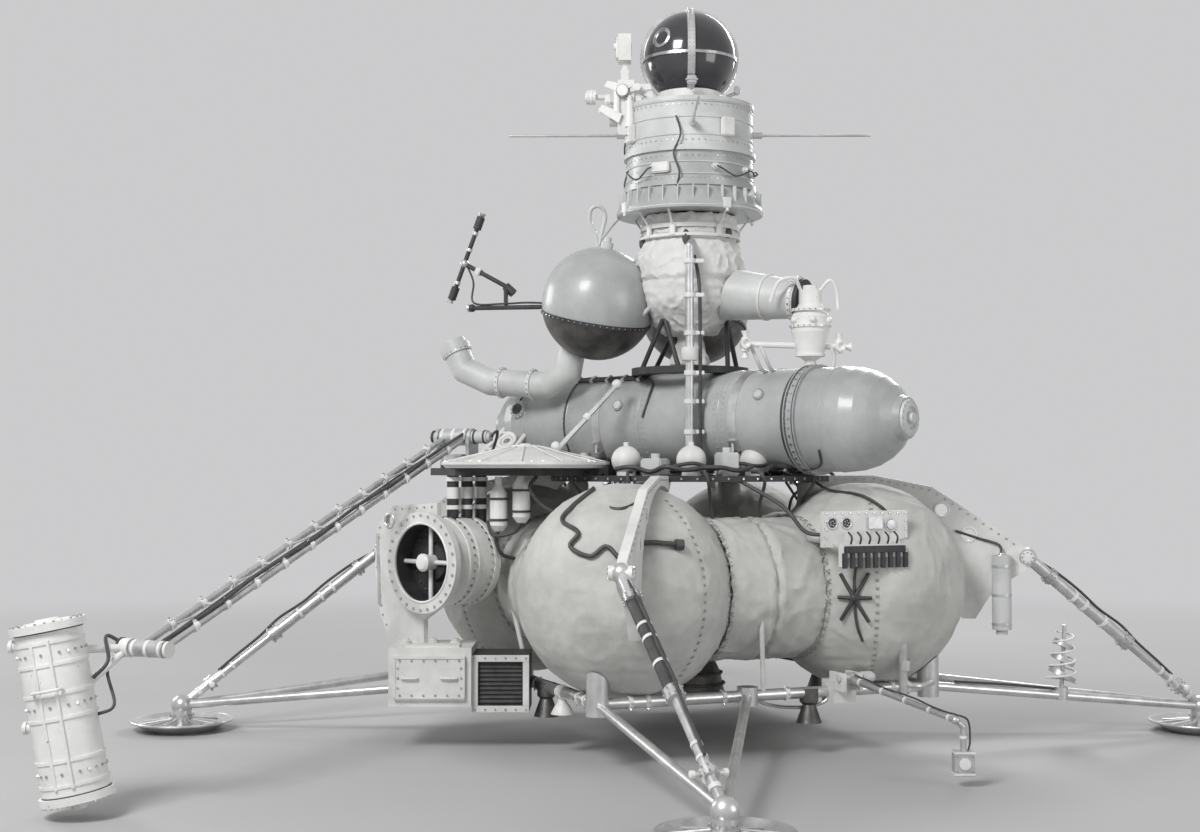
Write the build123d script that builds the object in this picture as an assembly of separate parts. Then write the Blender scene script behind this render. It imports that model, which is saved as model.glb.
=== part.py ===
"""Robotic sample-return lunar lander: four dish feet, a block of four tanks, a drill boom and an ascent stage.

Millimetres, +Z up, origin on the ground under the vertical axis. The landing legs lie on the X and Y axes,
the front leg towards -Y. Compass angles are counted from +X, anticlockwise seen from above.
"""
import os
from math import atan2, cos, degrees, radians, sin, sqrt

from build123d import *

# Tank block, which places the base corners, the legs' upper ends and the deck
TANK_D = 1070
TANK_REACH = 952           # axis to the middle of a tank
TANK_BOTTOM = 285          # underside of the tanks above the ground
TANK_Z = TANK_BOTTOM + TANK_D / 2

# Landing gear
FOOT_REACH = 2780          # axis to the middle of a dish
PAD_D = 550
PAD_RIM = 58               # height of the dish's rim
PAD_SKIN = 9
PAD_BOSS_D = 120
KNUCKLE_Z = 135            # ball joint above each dish
KNUCKLE_D = 116
LEG_TOP_REACH = TANK_REACH + TANK_D / 2 + 300
LEG_TOP_Z = TANK_Z + 145
LEG_TOP_TURN = -12.5       # the leg's upper end is turned from its foot
LEG_TOP_BALL_D = 96
STRUT_UPPER_D = 62
STRUT_LOWER_D = 44
STRUT_COLLAR_D = 82
STRUT_COLLAR_H = 60
STRUT_SPLIT = 0.55         # share of the strut's length that its thick part takes
STRUT_BAND_AT = 170        # upper band's distance from the strut's top
STRUT_BAND_H = 40
STRUT_FITTING_AT = 190     # cross bar's distance from the knuckle
STRUT_FITTING_D = 73.8
STRUT_FITTING_H = 44
STRUT_BAR_D = 24
STRUT_BAR_LENGTH = 150
BRACE_D = 46

# Base frame, a square of tubes turned from the legs
BLOCK_TURN = -22.5         # tanks and base corners, turned from the legs
CORNER_REACH = TANK_REACH + 348
BASE_Z = 310
BASE_TUBE_D = 56
POST_D = 110
POST_BOTTOM = 255
POST_TOP = 600
CLAMP_D = 104
CLAMP_H = 90
CLAMP_SHARE = 0.433        # place along a side of the second brace's clamp
ADAPTER_HOLE_D = 18
ADAPTER_HOLE_DEPTH = 70
THRUSTER_SHARE = 0.62     # place along a side of its small bell
THRUSTER_D = 130
THRUSTER_H = 150

# Seats under the tanks and the sections between them
TANK_BOSS_D = 130
TANK_BOSS_REACH = TANK_REACH - 282
BELT_D = 26                # round belt on a tank's equator
INTERTANK_D = 720
TRUSS_D = 24
TRUSS_FOOT = 70            # half the foot spread of a side truss
TRUSS_SHIFT = 105

# Main engine
ENGINE_D = 440
ENGINE_TOP = TANK_Z + 300
ENGINE_BOTTOM = TANK_Z - 260
BELL_EXIT_D = 380
BELL_THROAT_D = 150
BELL_BOTTOM = 190
BELL_WALL = 12
ENGINE_ARM_D = 70          # arms that hold the engine between the round sections

# Deck and leg brackets
DECK_D = 1520
DECK_T = 30
DECK_GAP = 5               # tank tops to the deck's underside
DECK_BOTTOM = TANK_Z + TANK_D / 2 + DECK_GAP
DECK_BORE_D = 700
DECK_BOLT_PCD = DECK_D - 100
DECK_BOLT_D = 14
BRACKET_T = 46
BRACKET_GAP = 14
BRACKET_HOLE_D = 70

# Outrigger plate at the left, with the shallow lens disc on it
OUTRIGGER_T = 40
LENS_X = -887
LENS_Y = -309
LENS_D = 880
LENS_H = 120
LENS_RIM = 20

# Sampling boom
BOOM_X = -1301
BOOM_Y = 182
BOOM_RISE = 173            # pitch pin above the outrigger plate
BOOM_COMPASS = 245.4
BOOM_DIP = 20
BOOM_LENGTH = 2718
BOOM_TUBE_D = 34
BOOM_SPACING = 130
BOOM_HUB_D = 96
TURRET_D = 150
TURRET_GAP = 1
CHEEK_T = 20
PIN_D = 30
PIN_GAP = 0.6
SIDE_GAP = 6
ELBOW_D = 70

# Drill canister at the boom's end
CANISTER_D = 272
CANISTER_LENGTH = 735
CANISTER_LID_D = 306
CANISTER_LID_T = 32
CANISTER_OUT = 255
CANISTER_ASIDE = -233
CANISTER_DOWN = 238
CANISTER_LEAN = 10.7
DRILL_D = 64
DRILL_OUT = 36

# Instrument cylinder
CYL_D = 540
CYL_GAP = 20               # under the cylinder, above the deck
CYL_COMPASS = -37.7
CYL_HALF = 1330
CYL_DOME = 330
CYL_RING_AT = 800
CYL_RING_D = 566
CYL_RING_T = 30
CYL_CAP_D = 210
SADDLE_AT = 450
SADDLE_T = 60
SADDLE_W = 380

# Ascent stage
STAND_D = 640
STAND_T = 25
BODY_RISE = 210            # ascent body above the instrument cylinder
BODY_H = 510
NECK_H = 140
SKIRT_H = 145
LOWER_DRUM_H = 165         # from the skirt to the joint
UPPER_DRUM_H = 290
ASCENT_BELL_H = 170
DRUM_D = 692
SKIRT_D = 800
NECK_D = 520
ASCENT_TANK_D = 620
ASCENT_TANK_RISE = 177     # tank middles above the body's foot
ASCENT_TANK_REACH = 505
WHIP_RISE = 142            # whip antennas above the drum's joint
WHIP_D = 14
WHIP_LENGTH = 650
COLLAR_D = 350
COLLAR_H = 80
CAPSULE_D = 510
CAPSULE_RISE = 280         # capsule's middle above the drum
STRAP_D = 540
STRAP_W = 40
STANDPIPE_D = 44

# Left side drum and boxes
SIDE_DRUM_D = 460
SIDE_DRUM_FLANGE_D = 524
SIDE_DRUM_FLANGE_T = 34
SIDE_DRUM_LENGTH = 350
SIDE_DRUM_COMPASS = 228.8
SIDE_DRUM_X = -1413
SIDE_DRUM_Y = -534
SIDE_DRUM_Z = 942
BRACKET_PLATE_T = 30
BOX_SPLIT_X = -(TANK_REACH + 188)
BOX_LEFT_X = BOX_SPLIT_X - 420
BOX_RIGHT_X = BOX_SPLIT_X + 290
BOX_FRONT_Y = -680
BOX_DEPTH = 400
RADIATOR_FRONT_Y = -640
RADIATOR_DEPTH = 300

LEGS = {"front": -90, "right": 0, "back": 90, "left": 180}
MID = (Align.CENTER, Align.CENTER, Align.MIN)


def polar(reach, compass, z=0.0):
    """Point at a distance from the vertical axis."""
    return Vector(reach * cos(radians(compass)), reach * sin(radians(compass)), z)


def rod(a, b, d, d_end=None):
    """Round rod from a to b, tapering where d_end is given."""
    a, b = Vector(*a), Vector(*b)
    plane = Plane(origin=a, z_dir=b - a)
    if d_end is None or d_end == d:
        return plane * Cylinder(d / 2, (b - a).length, align=MID)
    return plane * Cone(d / 2, d_end / 2, (b - a).length, align=MID)


def ball(centre, d, toward=(0, 0, 1)):
    """Sphere whose poles lie along the given direction."""
    return Plane(origin=Vector(*centre), z_dir=toward) * Sphere(d / 2)


def pipe(points, d):
    """Round pipe through the points, with ball corners."""
    shape = rod(points[0], points[1], d)
    for a, b in zip(points[1:], points[2:]):
        shape = shape + ball(a, d) + rod(a, b, d)
    return shape


def turned(origin, toward, profile):
    """Solid of revolution: profile is a table of (distance along the axis, radius)."""
    points = [(0, profile[0][0])] + [(radius, along) for along, radius in profile] + [(0, profile[-1][0])]
    points = [p for n, p in enumerate(points) if n == 0 or p != points[n - 1]]
    face = make_face(Plane.XZ * Polyline(*points, close=True))
    return Plane(origin=origin, z_dir=toward) * revolve(face, Axis.Z, 360)


def less(shape, *others):
    """Shape with its neighbours' space taken out, so that they meet face to face."""
    for other in others:
        shape = shape - other
    return shape


def largest(shape):
    return max(shape.solids(), key=lambda s: s.volume)


def upright(outline, low, high):
    """Prism over a table of (x, y) corners."""
    return Pos(0, 0, low) * extrude(make_face(Polyline(*outline, close=True)), high - low, dir=(0, 0, 1))


def in_plane(compass, centre=(0, 0, 0)):
    """Vertical plane through a centre: its x runs along the compass direction, its y runs up."""
    return Plane(origin=centre, x_dir=(cos(radians(compass)), sin(radians(compass)), 0),
                 z_dir=(sin(radians(compass)), -cos(radians(compass)), 0))


# Places that several pieces share
def corner(name):
    return polar(CORNER_REACH, LEGS[name] + BLOCK_TURN, BASE_Z)


def clamp(name):
    a, b = corner(name), corner(next_leg(name))
    return a + (b - a) * CLAMP_SHARE


def next_leg(name):
    names = list(LEGS)
    return names[(names.index(name) + 1) % 4]


def tank_centre(name):
    return polar(TANK_REACH, LEGS[name] + BLOCK_TURN, TANK_Z)


def knuckle(name):
    return polar(FOOT_REACH, LEGS[name], KNUCKLE_Z)


def leg_top(name):
    return polar(LEG_TOP_REACH, LEGS[name] + LEG_TOP_TURN, LEG_TOP_Z)


DECK_TOP = DECK_BOTTOM + DECK_T
OUTRIGGER_TOP = DECK_TOP + OUTRIGGER_T
BOOM_Z = OUTRIGGER_TOP + BOOM_RISE
CYL_Z = DECK_TOP + CYL_GAP + CYL_D / 2
BODY_BOTTOM = CYL_Z + CYL_D / 2 + BODY_RISE
NECK_BOTTOM = BODY_BOTTOM + BODY_H
SKIRT_BOTTOM = NECK_BOTTOM + NECK_H
SKIRT_TOP = SKIRT_BOTTOM + SKIRT_H
DRUM_SPLIT = SKIRT_TOP + LOWER_DRUM_H
DRUM_TOP = DRUM_SPLIT + UPPER_DRUM_H
ASCENT_TANK_Z = BODY_BOTTOM + ASCENT_TANK_RISE
WHIP_Z = DRUM_SPLIT + WHIP_RISE
CAPSULE_Z = DRUM_TOP + CAPSULE_RISE
BOX_TOP = 520


# Landing gear
def pad(name):
    """Dish with a rim, a flat ground face and a boss under the ball joint."""
    r = PAD_D / 2
    profile = [(0, r * 0.62), (PAD_RIM - PAD_SKIN, r - PAD_SKIN), (PAD_RIM - PAD_SKIN, r), (PAD_RIM, r),
               (PAD_RIM, r - PAD_SKIN * 1.4), (PAD_SKIN, r * 0.62 - PAD_SKIN / 2), (PAD_SKIN, PAD_BOSS_D / 2),
               (KNUCKLE_Z, PAD_BOSS_D / 2 * 0.82)]
    return less(turned(polar(FOOT_REACH, LEGS[name]), (0, 0, 1), profile), ball(knuckle(name), KNUCKLE_D))


def strut(name):
    """Shock strut: knuckle ball, thin sliding rod, thick cylinder, collars and the upper ball."""
    low, high = knuckle(name), leg_top(name)
    along = (high - low).normalized()
    length = (high - low).length
    split = length * (1 - STRUT_SPLIT)
    rod_r, tube_r, collar_r = STRUT_LOWER_D / 2, STRUT_UPPER_D / 2, STRUT_COLLAR_D / 2
    bands = [(STRUT_FITTING_AT, STRUT_FITTING_H, rod_r, STRUT_FITTING_D / 2, rod_r),
             (split, STRUT_COLLAR_H, rod_r, collar_r, tube_r),
             (length - STRUT_BAND_AT, STRUT_BAND_H, tube_r, collar_r, tube_r)]
    profile = [(0, rod_r)]
    for middle, height, below, band, above in bands:
        start, end = middle - height / 2, middle + height / 2
        profile += [(start, below), (start, band), (end, band), (end, above)]
    profile += [(length, tube_r)]
    shape = turned(low, along, profile) + ball(low, KNUCKLE_D, along) + ball(high, LEG_TOP_BALL_D, along)
    fitting = low + along * STRUT_FITTING_AT
    side = Vector(-along.Y, along.X, 0).normalized() * (STRUT_BAR_LENGTH / 2)
    return shape + rod(fitting - side, fitting + side, STRUT_BAR_D)


def brace(name):
    """Lower pair of tubes from the knuckle to the base frame."""
    low = knuckle(name)
    shape = rod(low, corner(name), BRACE_D) + rod(low, clamp(name), BRACE_D)
    return largest(less(shape, strut(name), post(name), clamp_block(name), pad(name)))


# Base frame
def post(name):
    """Plain post in a corner of the base frame, under its tank."""
    at = corner(name)
    shape = Pos(at.X, at.Y, POST_BOTTOM) * Cylinder(POST_D / 2, POST_TOP - POST_BOTTOM, align=MID)
    return largest(less(shape, ball(tank_centre(name), TANK_D)))


def adapter_hole(name):
    """Blind hole for a bolt of the launch adapter, up into a corner post."""
    at = corner(name)
    return Pos(at.X, at.Y, POST_BOTTOM) * Cylinder(ADAPTER_HOLE_D / 2, ADAPTER_HOLE_DEPTH, align=MID)


def clamp_block(name):
    at = clamp(name)
    return Pos(at.X, at.Y, BASE_Z) * Cylinder(CLAMP_D / 2, CLAMP_H)


def thruster(name):
    """Small bell that hangs from a side of the base frame."""
    a, b = corner(name), corner(next_leg(name))
    at = a + (b - a) * THRUSTER_SHARE
    r = THRUSTER_D / 2
    profile = [(0, r), (THRUSTER_H * 0.6, r * 0.5), (THRUSTER_H * 0.7, r * 0.72), (THRUSTER_H + 20, r * 0.72)]
    shape = turned((at.X, at.Y, BASE_Z - THRUSTER_H), (0, 0, 1), profile)
    inside = [(0, r - 6), (THRUSTER_H * 0.5, r * 0.5 - 6)]
    hollow = turned((at.X, at.Y, BASE_Z - THRUSTER_H), (0, 0, 1), inside)
    return less(shape, hollow, rod(a, b, BASE_TUBE_D))


def base_side(name):
    """One side of the square, with its post and its clamp."""
    a, b = corner(name), corner(next_leg(name))
    shape = rod(a, b, BASE_TUBE_D) + post(name) + clamp_block(name)
    return less(shape, adapter_hole(name), Pos(b.X, b.Y, 0) * Cylinder(POST_D / 2, POST_TOP, align=MID))


# Tanks
def tank(name):
    """Sphere with an equator belt and a boss that carries the deck."""
    centre = tank_centre(name)
    seat = polar(TANK_BOSS_REACH, LEGS[name] + BLOCK_TURN, 0)
    boss = Pos(seat.X, seat.Y, TANK_Z) * Cylinder(TANK_BOSS_D / 2, DECK_BOTTOM - TANK_Z, align=MID)
    return ball(centre, TANK_D) + boss


def between(name):
    """Round section between two tanks."""
    a, b = tank_centre(name), tank_centre(next_leg(name))
    return largest(less(rod(a, b, INTERTANK_D), ball(a, TANK_D), ball(b, TANK_D)))


def side_frame(name):
    """Unit vectors along a side of the block and outwards from it."""
    out = polar(1, LEGS[name] + BLOCK_TURN + 45)
    return Vector(-out.Y, out.X, 0), out


def side_truss(name):
    """Narrow triangle of rods from the base frame up to a section between tanks."""
    along, out = side_frame(name)
    side_reach = CORNER_REACH * cos(radians(45))
    mid_reach = TANK_REACH * cos(radians(45))
    apex = out * (mid_reach + INTERTANK_D / 2 - 4) - along * TRUSS_SHIFT + Vector(0, 0, TANK_Z + 40)
    feet = [out * side_reach - along * (TRUSS_SHIFT + s * TRUSS_FOOT) + Vector(0, 0, BASE_Z) for s in (-1, 1)]
    shape = rod(feet[0], apex, TRUSS_D) + rod(feet[1], apex, TRUSS_D) + ball(apex, TRUSS_D * 1.6)
    shape = less(shape, rod(corner(name), corner(next_leg(name)), BASE_TUBE_D), between(name))
    return largest(less(shape, clamp_block(name)))


def engine():
    """Main engine as one block with its bell."""
    throat, exit_r = BELL_THROAT_D / 2, BELL_EXIT_D / 2
    height = ENGINE_BOTTOM - BELL_BOTTOM
    outer = [(0, exit_r), (height * 0.35, exit_r * 0.86), (height * 0.8, throat * 1.15), (height, throat),
             (height, ENGINE_D / 2), (ENGINE_TOP - BELL_BOTTOM, ENGINE_D / 2)]
    inner = [(0, exit_r - BELL_WALL), (height * 0.35, exit_r * 0.86 - BELL_WALL),
             (height * 0.8, throat * 1.15 - BELL_WALL)]
    base = (0, 0, BELL_BOTTOM)
    shape = turned(base, (0, 0, 1), outer) - turned(base, (0, 0, 1), inner)
    for name in LEGS:
        out = side_frame(name)[1]
        middle = Vector(0, 0, TANK_Z)
        arm = rod(out * (ENGINE_D / 4) + middle, out * (TANK_REACH / 2) + middle, ENGINE_ARM_D)
        shape = shape + arm
    return largest(less(shape, *[between(name) for name in LEGS]))


# Deck, brackets and outrigger
def deck():
    """Round deck on the tanks' bosses, with bolt holes and two saddles for the instrument cylinder."""
    plate = Pos(0, 0, DECK_BOTTOM) * Cylinder(DECK_D / 2, DECK_T, align=MID)
    plate = plate - Pos(0, 0, DECK_BOTTOM) * Cylinder(DECK_BORE_D / 2, DECK_T, align=MID)
    for n in range(8):
        at = polar(DECK_BOLT_PCD / 2, 22.5 + 45 * n, DECK_BOTTOM)
        plate = plate - Pos(*at) * Cylinder(DECK_BOLT_D / 2, DECK_T, align=MID)
    for s in (-1, 1):
        at = polar(s * SADDLE_AT, CYL_COMPASS, DECK_TOP)
        block = Box(SADDLE_T, SADDLE_W, CYL_Z - DECK_TOP - CYL_D * 0.3, align=MID)
        plate = plate + Pos(*at) * Rot(0, 0, CYL_COMPASS) * block
    return less(plate, cylinder_skin())


def leg_bracket(name):
    """Crescent plate from the deck's edge over the tank out to the leg's upper ball."""
    top = DECK_TOP
    outer = TANK_REACH + TANK_D / 2
    outline = [(DECK_D / 2 - 60, DECK_BOTTOM), (DECK_D / 2 - 60, top), (TANK_REACH + 48, top),
               (outer - 187, top - 60), (LEG_TOP_REACH - 30, LEG_TOP_Z + 66), (LEG_TOP_REACH + 52, LEG_TOP_Z),
               (LEG_TOP_REACH, LEG_TOP_Z - 66), (outer + 133, TANK_Z - 20), (outer + 33, TANK_Z - 180),
               (outer - 32, TANK_Z - 180)]
    off = TANK_REACH * sin(radians(LEG_TOP_TURN - BLOCK_TURN))
    hollow_r = sqrt((TANK_D / 2) ** 2 - off ** 2) + BRACKET_GAP
    face = make_face(Polyline(*outline, close=True))
    face = face - Pos(TANK_REACH * cos(radians(LEG_TOP_TURN - BLOCK_TURN)), TANK_Z) * Circle(hollow_r)
    for reach, z in ((outer + 3, TANK_Z + TANK_D / 2 - 275), (outer - 137, TANK_Z + TANK_D / 2 - 145)):
        face = face - Pos(reach, z) * Circle(BRACKET_HOLE_D / 2)
    face = max(face.faces(), key=lambda f: f.area)
    plate = extrude(in_plane(LEGS[name] + LEG_TOP_TURN) * face, BRACKET_T / 2, both=True)
    plate = less(plate, Pos(0, 0, DECK_BOTTOM) * Cylinder(DECK_D / 2, DECK_T, align=MID))
    return largest(less(plate, tank(name), strut(name), ball(leg_top(name), LEG_TOP_BALL_D)))


OUTRIGGER_CORNERS = [(-500, -400), (-887, -560), (-1240, -520), (-1290, -440), (-1290, -150), (-1430, 60),
                     (-1440, 300), (-500, 300)]
DRUM_PIPES = [(-1262, -405), (-1195, -328), (-1128, -252)]


def outrigger():
    """Plate beside the deck, with the pipes that carry the side drum."""
    shape = upright(OUTRIGGER_CORNERS, DECK_TOP, OUTRIGGER_TOP)
    for x, y in DRUM_PIPES:
        shape = shape + rod((x, y, SIDE_DRUM_Z + 40), (x, y, DECK_TOP), 62)
    shape = shape + Pos(BOOM_X, BOOM_Y, OUTRIGGER_TOP) * Cylinder(TURRET_D / 2 + 12, 40, align=MID)
    shape = less(shape, turret_pin(), cylinder_skin(), side_drum(), tank("left"), leg_bracket("left"))
    return largest(shape)


def lens():
    r = LENS_D / 2
    profile = [(0, r - 18), (LENS_RIM, r), (LENS_H * 0.94, 70), (LENS_H, 55)]
    return turned((LENS_X, LENS_Y, OUTRIGGER_TOP), (0, 0, 1), profile)


# Boom, in its own axes: x outwards along the boom, y to its left, z up, origin at the pitch pin
def boom_place():
    return Pos(BOOM_X, BOOM_Y, BOOM_Z) * Rot(0, 0, BOOM_COMPASS)


def elbow_place():
    dip = radians(BOOM_DIP)
    return boom_place() * Pos(BOOM_LENGTH * cos(dip), 0, -BOOM_LENGTH * sin(dip))


HUB_HALF = BOOM_SPACING / 2 + BOOM_TUBE_D / 2 + 4


def turret_pin():
    return Pos(BOOM_X, BOOM_Y, OUTRIGGER_TOP + 5) * Cylinder(PIN_D / 2 + PIN_GAP, 100, align=MID)


def turret():
    """Turntable with two cheeks and the pitch pin."""
    base_top = OUTRIGGER_TOP + 40 + TURRET_GAP
    shape = Pos(BOOM_X, BOOM_Y, base_top) * Cylinder(TURRET_D / 2, 36, align=MID)
    shape = shape + Pos(BOOM_X, BOOM_Y, base_top - 30) * Cylinder(PIN_D / 2, 40, align=MID)
    cheek_at = HUB_HALF + SIDE_GAP + CHEEK_T / 2
    rise = BOOM_Z - base_top - 20
    for s in (-1, 1):
        foot = Pos(0, s * cheek_at, -rise) * Box(110, CHEEK_T, rise, align=MID)
        eye = Pos(0, s * cheek_at, 0) * Rot(90, 0, 0) * Cylinder(BOOM_HUB_D / 2, CHEEK_T)
        shape = shape + boom_place() * foot + boom_place() * eye
    bridge = Pos(0, 0, -rise - 4) * Box(110, 2 * cheek_at + CHEEK_T, 20)
    pin = Rot(90, 0, 0) * Cylinder(PIN_D / 2, 2 * cheek_at + CHEEK_T)
    return shape + boom_place() * bridge + boom_place() * pin


def boom():
    """Twin tubes with cross ties, a hub on the pitch pin and a sleeve at the elbow."""
    dip = radians(BOOM_DIP)
    end = Vector(BOOM_LENGTH * cos(dip), 0, -BOOM_LENGTH * sin(dip))
    along = end.normalized()
    hub = Rot(90, 0, 0) * Cylinder(BOOM_HUB_D / 2, 2 * HUB_HALF)
    sleeve = Pos(*end) * Rot(90, 0, 0) * Cylinder(ELBOW_D / 2, 2 * HUB_HALF)
    shape = hub + sleeve
    for s in (-1, 1):
        side = Vector(0, s * BOOM_SPACING / 2, 0)
        shape = shape + rod(side, end + side, BOOM_TUBE_D)
    for n in range(1, 6):
        at = along * (BOOM_LENGTH * n / 6)
        reach = Vector(0, BOOM_SPACING / 2, 0)
        shape = shape + rod(at - reach, at + reach, 20)
    shape = shape - Rot(90, 0, 0) * Cylinder(PIN_D / 2 + PIN_GAP, 2 * HUB_HALF)
    shape = shape - Pos(*end) * Rot(90, 0, 0) * Cylinder(PIN_D / 2 + PIN_GAP, 2 * HUB_HALF)
    return boom_place() * shape


def canister():
    """Drill canister with lids, side plate, fork arms and the elbow pin."""
    aside = Vector(cos(radians(BOOM_COMPASS + 90)), sin(radians(BOOM_COMPASS + 90)), 0)
    out = Vector(cos(radians(BOOM_COMPASS)), sin(radians(BOOM_COMPASS)), 0)
    elbow = Vector(*elbow_place().position)
    mid = elbow + out * CANISTER_OUT + aside * CANISTER_ASIDE - Vector(0, 0, CANISTER_DOWN)
    lean = Vector(-sin(radians(CANISTER_LEAN)), 0, cos(radians(CANISTER_LEAN)))
    low, high = mid - lean * (CANISTER_LENGTH / 2), mid + lean * (CANISTER_LENGTH / 2)
    shape = rod(low, high, CANISTER_D)
    shape = shape + rod(low, low + lean * CANISTER_LID_T, CANISTER_LID_D)
    shape = shape + rod(high - lean * CANISTER_LID_T, high, CANISTER_LID_D)
    shape = shape + rod(low - lean * DRILL_OUT, low, DRILL_D)
    hub_in = -(HUB_HALF + SIDE_GAP)
    hub_out = hub_in - 46
    hub = rod(elbow + aside * hub_in, elbow + aside * hub_out, ELBOW_D + 10)
    pin = rod(elbow + aside * hub_in, elbow + aside * (HUB_HALF + SIDE_GAP), PIN_D)
    cap = rod(elbow + aside * (HUB_HALF + SIDE_GAP), elbow + aside * (HUB_HALF + SIDE_GAP + 14), ELBOW_D)
    arm_root = elbow + aside * (hub_in - 23)
    shape = shape + hub + pin + cap
    for share in (0.34, 0.02):
        shape = shape + rod(arm_root, mid + lean * (CANISTER_LENGTH * share), 34)
    for share in (0.36, -0.1):
        at = mid + lean * (CANISTER_LENGTH * share)
        shape = shape + rod(at, at - Vector(CANISTER_D / 2 + 34, 0, 0), 40)
    return shape


# Instrument cylinder
def cylinder_skin():
    """Tank-like cylinder with domed ends, a ring near its right end and an end cap."""
    r = CYL_D / 2
    steps = 7
    dome = [(1 - cos(radians(90 * n / steps)), sin(radians(90 * n / steps))) for n in range(1, steps + 1)]
    start = [(0, CYL_CAP_D / 2)] + [(CYL_DOME * a, r * s) for a, s in dome if r * s > CYL_CAP_D / 2]
    ring_from = CYL_HALF + CYL_RING_AT - CYL_RING_T / 2
    ring_to = CYL_HALF + CYL_RING_AT + CYL_RING_T / 2
    straight = [(ring_from, r), (ring_from, CYL_RING_D / 2), (ring_to, CYL_RING_D / 2), (ring_to, r)]
    finish = [(2 * CYL_HALF - along, radius) for along, radius in reversed(start)]
    along = polar(1, CYL_COMPASS)
    return turned(polar(-CYL_HALF, CYL_COMPASS, CYL_Z), along, start + straight + finish)


# Ascent stage
def stand():
    """Ring on the instrument cylinder with struts up to the ascent body."""
    low = CYL_Z + CYL_D / 2 - 12
    ring = Pos(0, 0, low) * Cylinder(STAND_D / 2, STAND_T + 12, align=MID)
    ring = ring - Pos(0, 0, low) * Cylinder(STAND_D / 2 - 90, STAND_T + 12, align=MID)
    for n in range(6):
        foot = polar(STAND_D / 2 - 45, 60 * n + 15, low + STAND_T)
        head = polar(205, 60 * n + (45 if n % 2 else -15), BODY_BOTTOM + 90)
        ring = ring + rod(foot, head, 26)
    return largest(less(ring, cylinder_skin(), ascent_core(), side_cone(), *ascent_spheres()))


def ascent_core():
    profile = [(0, 150), (60, 205), (160, 292), (300, 316), (420, 300), (NECK_BOTTOM - BODY_BOTTOM, NECK_D / 2),
               (SKIRT_BOTTOM - BODY_BOTTOM, NECK_D / 2)]
    bell = [(0, 120), (70, 95), (ASCENT_BELL_H, 62)]
    core = turned((0, 0, BODY_BOTTOM), (0, 0, 1), profile)
    return core + turned((0, 0, BODY_BOTTOM - ASCENT_BELL_H), (0, 0, 1), bell)


def ascent_spheres():
    return [ball(polar(ASCENT_TANK_REACH, compass, ASCENT_TANK_Z), ASCENT_TANK_D) for compass in (177, 84)]


def side_cone():
    """Cone at the right of the ascent body, with an end ring."""
    a, b = Vector(60, -30, BODY_BOTTOM + 235), Vector(540, -330, BODY_BOTTOM + 162)
    along = (b - a).normalized()
    shape = rod(a, b, 320, 205) + rod(b, b + along * 36, 232) - rod(b - along * 40, b + along * 40, 150)
    return largest(less(shape, ascent_core(), thruster_core()))


def thruster_core():
    """Upright thruster block that stands on the instrument cylinder."""
    x, y = 610, -430
    low = CYL_Z + CYL_D / 2 - 60
    profile = [(0, 30), (100, 30), (130, 70), (250, 100), (330, 100), (400, 60), (470, 60)]
    return turned((x, y, low), (0, 0, 1), profile)


def thruster_block():
    x, y = 610, -430
    left, right = CYL_Z + CYL_D / 2 + 128, CYL_Z + CYL_D / 2 + 112
    arms = rod((x - 340, y, left), (x + 150, y, right), 30)
    left_jets = rod((x - 340, y - 60, left), (x - 340, y + 60, left), 52)
    left_jets = left_jets + rod((x - 340, y, left - 38), (x - 340, y, left + 34), 44)
    right_jets = rod((x + 150, y - 60, right), (x + 150, y + 60, right), 52)
    right_jets = right_jets + rod((x + 150, y, right - 32), (x + 150, y, right + 38), 44)
    return less(thruster_core() + arms + left_jets + right_jets, cylinder_skin())


BENT_PIPE_D = 150
BENT_PIPE = [(-1345, 420, -182), (-1272, 395, -345), (-1115, 330, -419), (-790, 190, -442), (-672, 134, -377),
             (-640, 120, -197)]    # heights from the ascent tanks' middles


def bent_pipe():
    """Thick bent duct below the left ascent tank, with a banded open head."""
    points = [Vector(x, y, ASCENT_TANK_Z + z) for x, y, z in BENT_PIPE]
    a, b = points[1], points[0]
    along = (b - a).normalized()
    shape = pipe(points, BENT_PIPE_D) + rod(b - along * 70, b - along * 30, BENT_PIPE_D + 26)
    shape = shape - rod(b - along * 60, b + along * 10, BENT_PIPE_D - 30)
    return largest(less(shape, *ascent_spheres()))


def jet_boom():
    """Rod on the left ascent tank with a cross of small jets at its end."""
    hub = Vector(-1238, 479, ASCENT_TANK_Z + 19)
    cross = Vector(-1283, 481, ASCENT_TANK_Z + 277)
    top, low = Vector(-1186, 476, ASCENT_TANK_Z + 547), Vector(-1358, 485, ASCENT_TANK_Z + 70)
    along = (top - low).normalized()
    elbow = Vector(-1038, 399, ASCENT_TANK_Z + 137)
    shape = rod((-770, 74, ASCENT_TANK_Z - 13), hub, 26) + ball(hub, 46)
    shape = shape + pipe([(-1030, 299, ASCENT_TANK_Z + 4), elbow, cross], 26)
    shape = shape + rod(low, top, 26) + rod(top - along * 75, top, 48) + rod(low, low + along * 75, 48)
    shape = shape + rod(elbow, elbow + Vector(45, -8, -42), 52)
    return largest(less(shape, *ascent_spheres()))


def standpipes():
    """Upright pipe in front of the instrument cylinder and the slanting stay beside it."""
    x, y = -20, -400
    tall = pipe([(x, y, DECK_TOP), (x, y, BODY_BOTTOM + 440), (0, -250, BODY_BOTTOM + 480)], STANDPIPE_D)
    tall = tall + rod((x, y, BODY_BOTTOM - 155), (x, y, BODY_BOTTOM - 105), STANDPIPE_D + 26)
    stay = rod((-400, -180, CYL_Z + 200), (-724, -352, OUTRIGGER_TOP + 90), 30)
    tall = largest(less(tall, ascent_core(), cylinder_skin()))
    stay = largest(less(stay, cylinder_skin(), lens()))
    return Compound(children=[tall, stay])


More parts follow.
